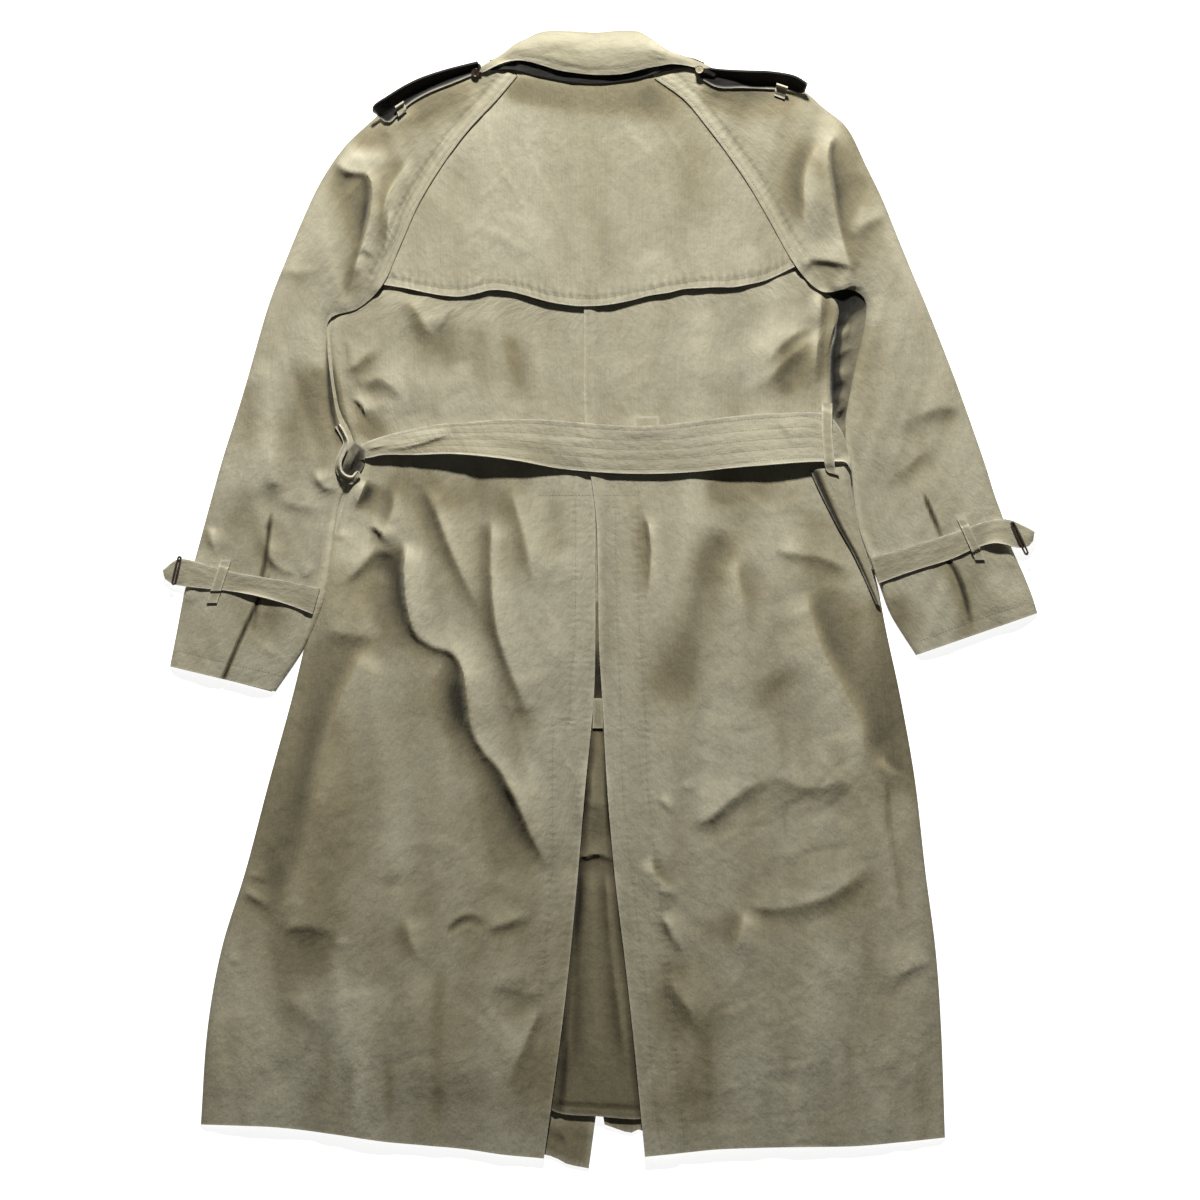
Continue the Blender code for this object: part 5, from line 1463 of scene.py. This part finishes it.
sleeveRight = {
    "name": "sleeveRight", "replaces": ["sleeve_right_back"],
    "restsOn": ["sleeveRightFront", "backRight", "stormFlap"], **sleeveLook, "seed": 61, "drape": (1.4, 26, 150, 0.3),
    "cuts": sleeveRightTable,
    "creases": [
        # the tone-only entries and the folds' browning paint shade and light on the sleeve
        tint([(245, 505), (264, 450), (288, 395)], 38, 0.8),
        # painted shade along the epaulette
        tint([(100, 545), (150, 545), (190, 543), (226, 530)], 16, 2),
        tint([(290, 310), (290, 240), (300, 150)], 24, 0.8),
        ([(239, 491), (225, 476), (217, 450), (217, 412), (220, 379)], -4, 11, 0.35, 1, 0.9),
        ([(258, 500), (247, 487), (245, 465), (249, 440), (253, 415), (260, 385), (270, 350), (280, 330)], -4, 9, 0.6,
         -1, 1),
        ([(266, 502), (246, 492), (229, 479)], 1, 9, 0, 0, -0.1),
        ([(221, 349), (226, 361), (248, 360), (270, 354), (282, 348)], -5, 9, 0.6, 1, 1),
        ([(312, 409), (296, 407), (280, 398), (263, 381)], -3.5, 14, 0.35, -1, 0.7),
        ([(392, 202), (365, 204), (332, 192), (306, 181)], -3.5, 15, 0.35, -1, 0.7),
        ([(351, 164), (327, 140), (301, 123)], -3, 14, 0.3, -1, 0.6),
        ([(284, 460), (275, 426), (270, 393)], -2, 22, 0, 0, 0.5),
        ([(140, 550), (179, 536), (218, 525)], -3, 12, 0, 0, 0.9),
        ([(110, 550), (140, 525), (176, 512)], -2, 12, 0.2, 0, 0.6),
        ([(270, 517), (258, 498), (248, 493)], -1, 16, 0, 0, 0.9),
        ([(216, 351), (227, 332), (249, 324), (262, 317)], -2.5, 4, 0.3, 0, 0.1),
        ([(254, 322), (268, 334), (283, 332)], -4.5, 7, 0.6, 0, 0.4),
        ([(400, 205), (366, 196), (320, 178)], -1.2, 22, 0.1, 0, 0.3),
        ([(365, 160), (327, 132), (294, 110), (280, 100)], -1.5, 22, 0.2, 0, 0.4),
        ([(366, 143), (337, 118), (309, 100)], 2.5, 18, 0, 0, -0.3),
        ([(344, 117), (348, 108), (354, 93), (361, 76), (368, 56)], -1, 1.6, 0, 0, 6),
        ([(356, 62), (372, 42), (384, 22), (392, -4), (399, -38)], -1.6, 1.8, 0, -1, 5),
        tint([(352, 50), (374, 30), (385, 5), (392, -30), (396, -80)], 9, 1),
        tint([(318, 20), (325, -12), (337, -60)], 16, 1),
        ([(416, 29), (430, 0), (437, -29)], 1.8, 16, 0, 0, -0.2),
    ],
    "seams": [
        ([(62, 559), (93, 537), (123, 500), (154, 459), (178, 421), (195, 390), (212, 360)], 0.3, 0.24, 6),
        ([(71, 560), (102, 541), (132, 505), (163, 464), (187, 426), (204, 394), (220, 366)], 0.6, 0.6, 6),
        ([(342, -44), (400, -22), (462, -2)], 0.25, -0.2, 6),
    ],
    "bands": [(raglanRight, 1, 14, 0.4)],
}
layCloth(sleeveLeft)
layCloth(sleeveRight)
sewOn("sleeveLeft", "sleeveLeftStitches", sleeveLeft["seams"])
sewOn("sleeveRight", "sleeveRightStitches", sleeveRight["seams"])
print("sleeves laid")

sidePleat = {
    "name": "sidePleatRight", "replaces": ["side_pleat_right"], "restsOn": ["backRight", "sleeveRight"], "seed": 72,
    # its first edge is painted near black, a painted shadow in the deep gap beside it
    "rows": 90, "columns": 34, "crowd": 0.4, "rumple": 0.3, "softness": 3, "edgeShade": ("first", 8.5, 7.0),
    "cuts": [(224, 139, 266, 143, 8, 14, 8), (236, 113, 270, 110, 9, 14, 8), (252, 82, 277, 74, 9, 13, 8),
             (271, 48, 287, 42, 9, 12, 7), (295, -4, 300, -6, 6, 7, 5)],
}
layCloth(sidePleat)
print("side fold laid")


beltLoopCentre = {
    "name": "beltLoopCentre", "replaces": ["belt_loop_centre"], "restsOn": ["backRight"], "seed": 81,
    "rows": 12, "columns": 16, "thick": 2.2, "rumple": 0.05, "softness": 2, "wear": 0.5,
    "cuts": [(37, 196, 63, 196, 9, 9, 9), (37, 182, 63, 182, 9, 9, 9)],
}
beltBack = {
    "name": "beltBack", "replaces": ["belt_back"], "restsOn": ["backLeft", "backRight", "beltLoopCentre"],
    "seed": 82, "rows": 260, "columns": 30, "thick": 2.4, "rumple": 0.35, "softness": 6, "fall": 1,
    "clearance": 0.3, "wear": 0.8, "wearReach": 1.4, "wornEdges": ["first", "second"],
    "cuts": [(-261, 158, -259, 151, 6, 7, 7), (-254, 166, -246, 152, 8, 10, 11),
             (-241, 172, -230, 155, 9, 13, 14), (-216, 179, -196, 155, 11, 15, 17),
             (-178, 187, -159, 156, 12, 16, 21), (-141, 190, -121, 153, 12, 17, 23),
             (-103, 193, -84, 148, 12, 16, 20), (-66, 193, -47, 141, 12, 13, 13),
             (-28, 190, -9, 137, 12, 13, 13), (10, 187, 28, 135, 13, 13, 13), (47, 186, 66, 135, 13, 13, 13),
             (85, 189, 103, 137, 12, 13, 13), (123, 194, 141, 141, 12, 14, 17),
             (160, 198, 178, 144, 12, 16, 21), (197, 200, 216, 147, 12, 15, 19),
             (239, 199, 249, 148, 11, 13, 14), (257, 182, 262, 147, 7, 8, 9), (266, 158, 268, 139, 5, 5, 5)],
    "creases": [([(-158, 178), (-176, 171), (-204, 163), (-226, 160), (-240, 158)], -4.5, 6, 0.5, 0, 0.8),
                ([(-150, 183), (-190, 176), (-225, 168)], 2.2, 6, 0, 0, -0.3),
                ([(-250, 160), (-238, 163), (-222, 166)], -3.0, 4, 0.4, 0, 0.6),
                ([(-120, 172), (-80, 168), (-40, 162)], -1.6, 10, 0.4, 0, 0.2),
                ([(-60, 168), (0, 160), (60, 158)], 1.2, 12, 0, 0, -0.2),
                ([(100, 168), (160, 172), (220, 178)], 1.2, 12, 0, 0, -0.3),
                ([(190, 190), (205, 176), (212, 160)], -1.8, 7, 0.3, 0, 0.2)],
}
beltRows = smoothRows(beltBack["cuts"], 80)[8:77:4]  # those that its stitching runs through


def beltLine(share):
    # a line along the belt, at a share of its width
    return [tuple(row[0:2] + (row[2:4] - row[0:2]) * share) for row in beltRows]


beltBack["seams"] = [(beltLine(share), 0.3, 0.25, 5) for share in (0.09, 0.30, 0.50, 0.70, 0.91)]
beltBack["seams"].append(([(-159, 183), (-150, 166), (-141, 152)], 0.6, 0.0, 4))
beltTurn = {
    "name": "beltTurn", "replaces": ["belt_turn"], "restsOn": ["beltBack"], "seed": 83, "finish": gabardineInside,
    # its darker finish and raised tone are painted shade on the turned end
    "rows": 60, "columns": 16, "thick": 2.0, "rumple": 0.5, "softness": 2, "fall": 2, "meet": 0.6, "tone": 0.35,
    "cuts": [(-262, 170, -250, 160, 8, 11, 10), (-268, 162, -251, 150, 9, 13, 10),
             (-273, 150, -254, 140, 8, 12, 9), (-277, 140, -262, 131, 6, 9, 6), (-278, 134, -270, 127, 4, 5, 4)],
    "creases": [([(-256, 164), (-262, 150), (-270, 134)], -4.0, 3.5, 0.4, 0, 0.6),
                ([(-266, 162), (-270, 148), (-275, 136)], 2.5, 3, 0, 0, -0.8)],
}
beltLoopLeft = {
    "name": "beltLoopLeft", "replaces": ["belt_loop_left"], "restsOn": ["beltTurn", "backLeft"], "seed": 84,
    "rows": 110, "columns": 8, "thick": 2.2, "rumple": 0.05, "softness": 1.5, "wear": 0.5, "meet": 0.5,
    "fall": 1,
    "cuts": ribbon([(-281, 186), (-276, 178), (-272, 168), (-276, 158), (-280, 148), (-279, 137), (-272, 130),
                    (-263, 129), (-257, 136)], 5.0, 9, (12, 13, 15, 16, 17, 17, 16, 14, 12)),
}
beltLoopRight = {
    "name": "beltLoopRight", "replaces": ["belt_loop_right"], "restsOn": ["beltBack", "backRight"], "seed": 85,
    "rows": 60, "columns": 10, "thick": 2.2, "rumple": 0.1, "softness": 3, "wear": 0.5,
    "wornEdges": ["first", "second"],
    "cuts": [(237, 211, 248, 210, 10, 10, 10), (237, 177, 248, 177, 10, 10, 10),
             (240, 143, 251, 140, 10, 10, 10), (244, 136, 255, 133, 8, 8, 8)],
}
layCloth(beltLoopCentre)
layCloth(beltBack)
sewOn("beltBack", "beltBackStitches", beltBack["seams"])
for piece in (beltTurn, beltLoopLeft, beltLoopRight):
    layCloth(piece)
print("belt laid")


cuffStrapLook = {
    "rows": 90, "columns": 16, "thick": 1.5, "rumple": 0.25, "softness": 4, "wear": 0.9, "wearReach": 1.3,
    "fall": 1.5, "wornEdges": ["first", "second"],
}
cuffLoopLook = {"rows": 40, "columns": 8, "thick": 1.8, "rumple": 0.05, "softness": 2, "wear": 0.5}
cuffStrapLeft = {
    "name": "cuffStrapLeft", "replaces": ["cuff_strap_left"], "restsOn": ["sleeveLeft"], "seed": 91,
    **cuffStrapLook,
    "cuts": [(-468, 32, -465, 22, 3, 3, 3), (-448, 44, -453, 16, 5, 5, 4), (-411, 35, -419, 12, 5, 5, 4),
             (-387, 29, -399, 10, 5, 6, 7), (-352, 23, -369, 5, 5, 8, 13), (-320, 17, -336, -4, 5, 7, 10),
             (-299, 13, -307, -15, 4, 5, 4)],
}
cuffStrapRight = {
    "name": "cuffStrapRight", "replaces": ["cuff_strap_right"], "restsOn": ["sleeveRight"], "seed": 92,
    **cuffStrapLook,
    "cuts": [(465, 73, 463, 63, 5, 5, 5), (454, 79, 457, 57, 7, 8, 7), (436, 86, 446, 56, 8, 8, 8),
             (416, 85, 422, 61, 6, 9, 13), (389, 76, 398, 54, 4, 5, 4), (362, 67, 373, 43, 4, 4, 4),
             (325, 55, 334, 31, 4, 4, 4), (289, 46, 298, 18, 4, 4, 4)],
}
cuffLoopLeft = {
    "name": "cuffLoopLeft", "replaces": ["cuff_loop_left"], "restsOn": ["cuffStrapLeft", "sleeveLeft"], "seed": 93,
    **cuffLoopLook,
    "cuts": [(-405, 43, -394, 43, 5, 5, 5), (-412, 22, -401, 22, 8, 9, 8), (-420, -3, -409, -3, 3, 3, 3)],
}
cuffLoopRight = {
    "name": "cuffLoopRight", "replaces": ["cuff_loop_right"], "restsOn": ["cuffStrapRight", "sleeveRight"],
    "seed": 94, **cuffLoopLook,
    "cuts": [(381, 87, 391, 87, 5, 5, 5), (391, 65, 401, 65, 8, 9, 8), (401, 43, 411, 43, 3, 3, 3)],
}


buckleForm = {
    "sides": (48, 12),
    "tube": 0.16,  # of the torus it is bent from
    "corners": 0.72,  # 0 for a round ring, 1 for sharp corners
    "endLift": 0.6,
}


def layBuckle(buckle):
    # a leather-covered ring with rounded corners around the strap
    form = buckleForm
    deselectAll()
    bpy.ops.mesh.primitive_torus_add(major_segments=form["sides"][0], minor_segments=form["sides"][1],
                                     major_radius=1.0, minor_radius=form["tube"])
    obj = nameActive(buckle["name"])
    (ax, ay), (bx, by) = buckle["bar"]
    centre = Vector(((ax + bx) / 2, (ay + by) / 2))
    up = Vector((ax - bx, ay - by))
    half = up.length / 2
    up.normalize()
    right = Vector((up.y, -up.x))
    for vert in obj.data.vertices:
        ring = math.hypot(vert.co.x, vert.co.y)
        turn = math.atan2(vert.co.y, vert.co.x)
        squareness = 1 / max(abs(math.cos(turn)), abs(math.sin(turn)))
        rounded = 1 + (squareness - 1) * form["corners"]
        spread = (ring - 1) * buckle["barThick"] / (2 * form["tube"])
        across = math.cos(turn) * rounded * buckle["halfWide"] + math.cos(turn) * spread
        along = math.sin(turn) * rounded * half + math.sin(turn) * spread
        raised = vert.co.z * buckle["barThick"] / (2 * form["tube"]) + buckle["height"]
        flat = centre + right * across + up * along
        vert.co = Vector((flat.x, flat.y, raised + abs(math.cos(turn)) ** 6 * form["endLift"])) * mm
    finishMesh(obj, leather, 60)
    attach(obj, "root")
    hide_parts(buckle["replaces"])


layCloth(cuffStrapLeft)
layCloth(cuffStrapRight)
for side, bar, height in (("Left", ((-449, 46), (-456, 17)), 8.5), ("Right", ((440, 83), (456, 49)), 12.0)):
    layBuckle({"name": "cuffBuckle" + side, "replaces": "cuff_buckle_" + side.lower(), "bar": bar,
               "halfWide": 1.7, "barThick": 2.6, "height": height})
layCloth(cuffLoopLeft)
layCloth(cuffLoopRight)
print("cuffs laid")


collarStand = {
    "name": "collarStand", "replaces": ["collar_stand"], "restsOn": ["stormFlap", "backLeft", "backRight"],
    # its near-black finish is painted shade: the stand stands in for the shadow under the collar's fall
    "seed": 101, "rows": 90, "columns": 24, "thick": 1.6, "rumple": 0.1, "softness": 4, "finish": deepInside,
    "wear": 0.0, "cuts": [(-118, 577, -117, 566, 6, 9, 10), (-91, 584, -92, 566, 6, 9, 10),
                          (-60, 595, -60, 558, 5, 12, 12), (-12, 600, -12, 551, 5, 13, 13),
                          (36, 598, 39, 556, 5, 12, 12), (71, 583, 70, 566, 6, 9, 10),
                          (96, 580, 94, 569, 6, 9, 10), (112, 574, 108, 561, 6, 9, 10)],
}
collarFall = {
    "name": "collarFall", "replaces": ["collar_fall"], "restsOn": ["collarStand", "stormFlap"], "seed": 102,
    "rows": 150, "columns": 34, "thick": 2.4, "rumple": 0.5, "crumple": 0.5, "softness": 4, "wear": 0.6,
    "wearReach": 1.2, "wornEdges": ["second"], "fall": 2, "tone": -0.05,
    "cuts": [(-128, 569, -126, 563, 10, 11, 10), (-105, 583, -104, 573, 9, 12, 11),
             (-91, 594, -89, 576, 10, 15, 14), (-78, 600, -74, 574, 11, 19, 17),
             (-65, 606, -57, 569, 12, 21, 18), (-48, 608, -44, 565, 13, 23, 19),
             (-23, 607, -26, 562, 13, 24, 20), (-3, 606, -3, 560, 13, 24, 20), (21, 608, 24, 561, 13, 24, 20),
             (41, 607, 49, 567, 13, 23, 19), (57, 598, 65, 570, 12, 20, 17), (72, 588, 79, 572, 10, 16, 15),
             (98, 578, 99, 569, 9, 12, 11), (123, 567, 121, 560, 10, 11, 10)],
    "creases": [([(-60, 590), (-30, 586), (0, 588)], -1.2, 9, 0.2, 0.6, 0.1),
                ([(20, 596), (40, 586), (60, 584)], 1.2, 9, 0.1, 0, -0.2),
                ([(52, 598), (56, 588), (52, 578)], -1.0, 4, 0.5, 0.4, 0.0)],
    "seams": [([(-92, 582), (-77, 580), (-56, 575), (-30, 568), (-3, 566), (23, 567), (47, 573), (68, 576)],
               0.4, -0.3, 5)],
}
epauletteLook = {
    "rows": 100, "columns": 20, "thick": 2.6, "rumple": 0.1, "softness": 2, "fall": 1, "wear": 0.6, "wearReach": 1.5,
    # their near-black finish is painted shade on the undersides that show, with rubbing and a painted highlight along
    # the edges
    "meet": 0.4, "wornEdges": ["first", "end"], "finish": deepInside,
}
keeperLook = {"rows": 12, "columns": 20, "thick": 1.8, "rumple": 0.0, "softness": 1.5, "wear": 0.5}
epauletteLeft = {
    "name": "epauletteLeft", "replaces": ["epaulette_left"], "restsOn": ["sleeveLeft"], "seed": 103,
    **epauletteLook,
    "cuts": [(-128, 564, -130, 573, 4, 8, 16), (-157, 552, -162, 565, 4, 9, 18),
             (-182, 542, -189, 556, 4, 9, 20), (-200, 532, -208, 547, 4, 10, 21),
             (-213, 521, -226, 536, 4, 10, 21), (-223, 511, -240, 527, 4, 9, 19),
             (-230, 511, -241, 520, 4, 8, 16)],
}
epauletteRight = {
    "name": "epauletteRight", "replaces": ["epaulette_right"], "restsOn": ["sleeveRight"], "seed": 104,
    **epauletteLook,
    "cuts": [(108, 556, 101, 569, 4, 8, 16), (127, 547, 127, 565, 4, 9, 18), (154, 547, 155, 563, 4, 9, 20),
             (179, 546, 181, 562, 4, 10, 21), (201, 544, 205, 558, 4, 10, 21), (214, 541, 217, 552, 4, 9, 18),
             (219, 543, 221, 549, 4, 8, 16)],
}
keeperLeft = {
    "name": "epauletteLoopLeft", "replaces": ["epaulette_loop_left"], "restsOn": ["epauletteLeft", "sleeveLeft"],
    "seed": 105, **keeperLook,
    "cuts": [(-215, 516, -218, 525, 5, 12, 19), (-206, 522, -209, 531, 5, 12, 19)],
}
keeperRight = {
    "name": "epauletteLoopRight", "replaces": ["epaulette_loop_right"], "restsOn": ["epauletteRight", "sleeveRight"],
    "seed": 106, **keeperLook,
    "cuts": [(186, 539, 188, 550, 5, 12, 19), (197, 535, 200, 546, 5, 12, 19)],
}
layCloth(collarStand)
layCloth(collarFall)
sewOn("collarFall", "collarStitches", collarFall["seams"])
for piece in (epauletteLeft, epauletteRight, keeperLeft, keeperRight):
    layCloth(piece)
for side, finish in (("Left", horn), ("Right", paleHorn)):
    layButton({"name": "epauletteButton" + side, "replaces": "epaulette_button_" + side.lower(),
               "across": 9.0, "thick": 2.6, "finish": finish})
print("collar and epaulettes laid")

for name, facts in sheetFacts.items():
    print("cut of", name, facts["flat"], facts["area"])
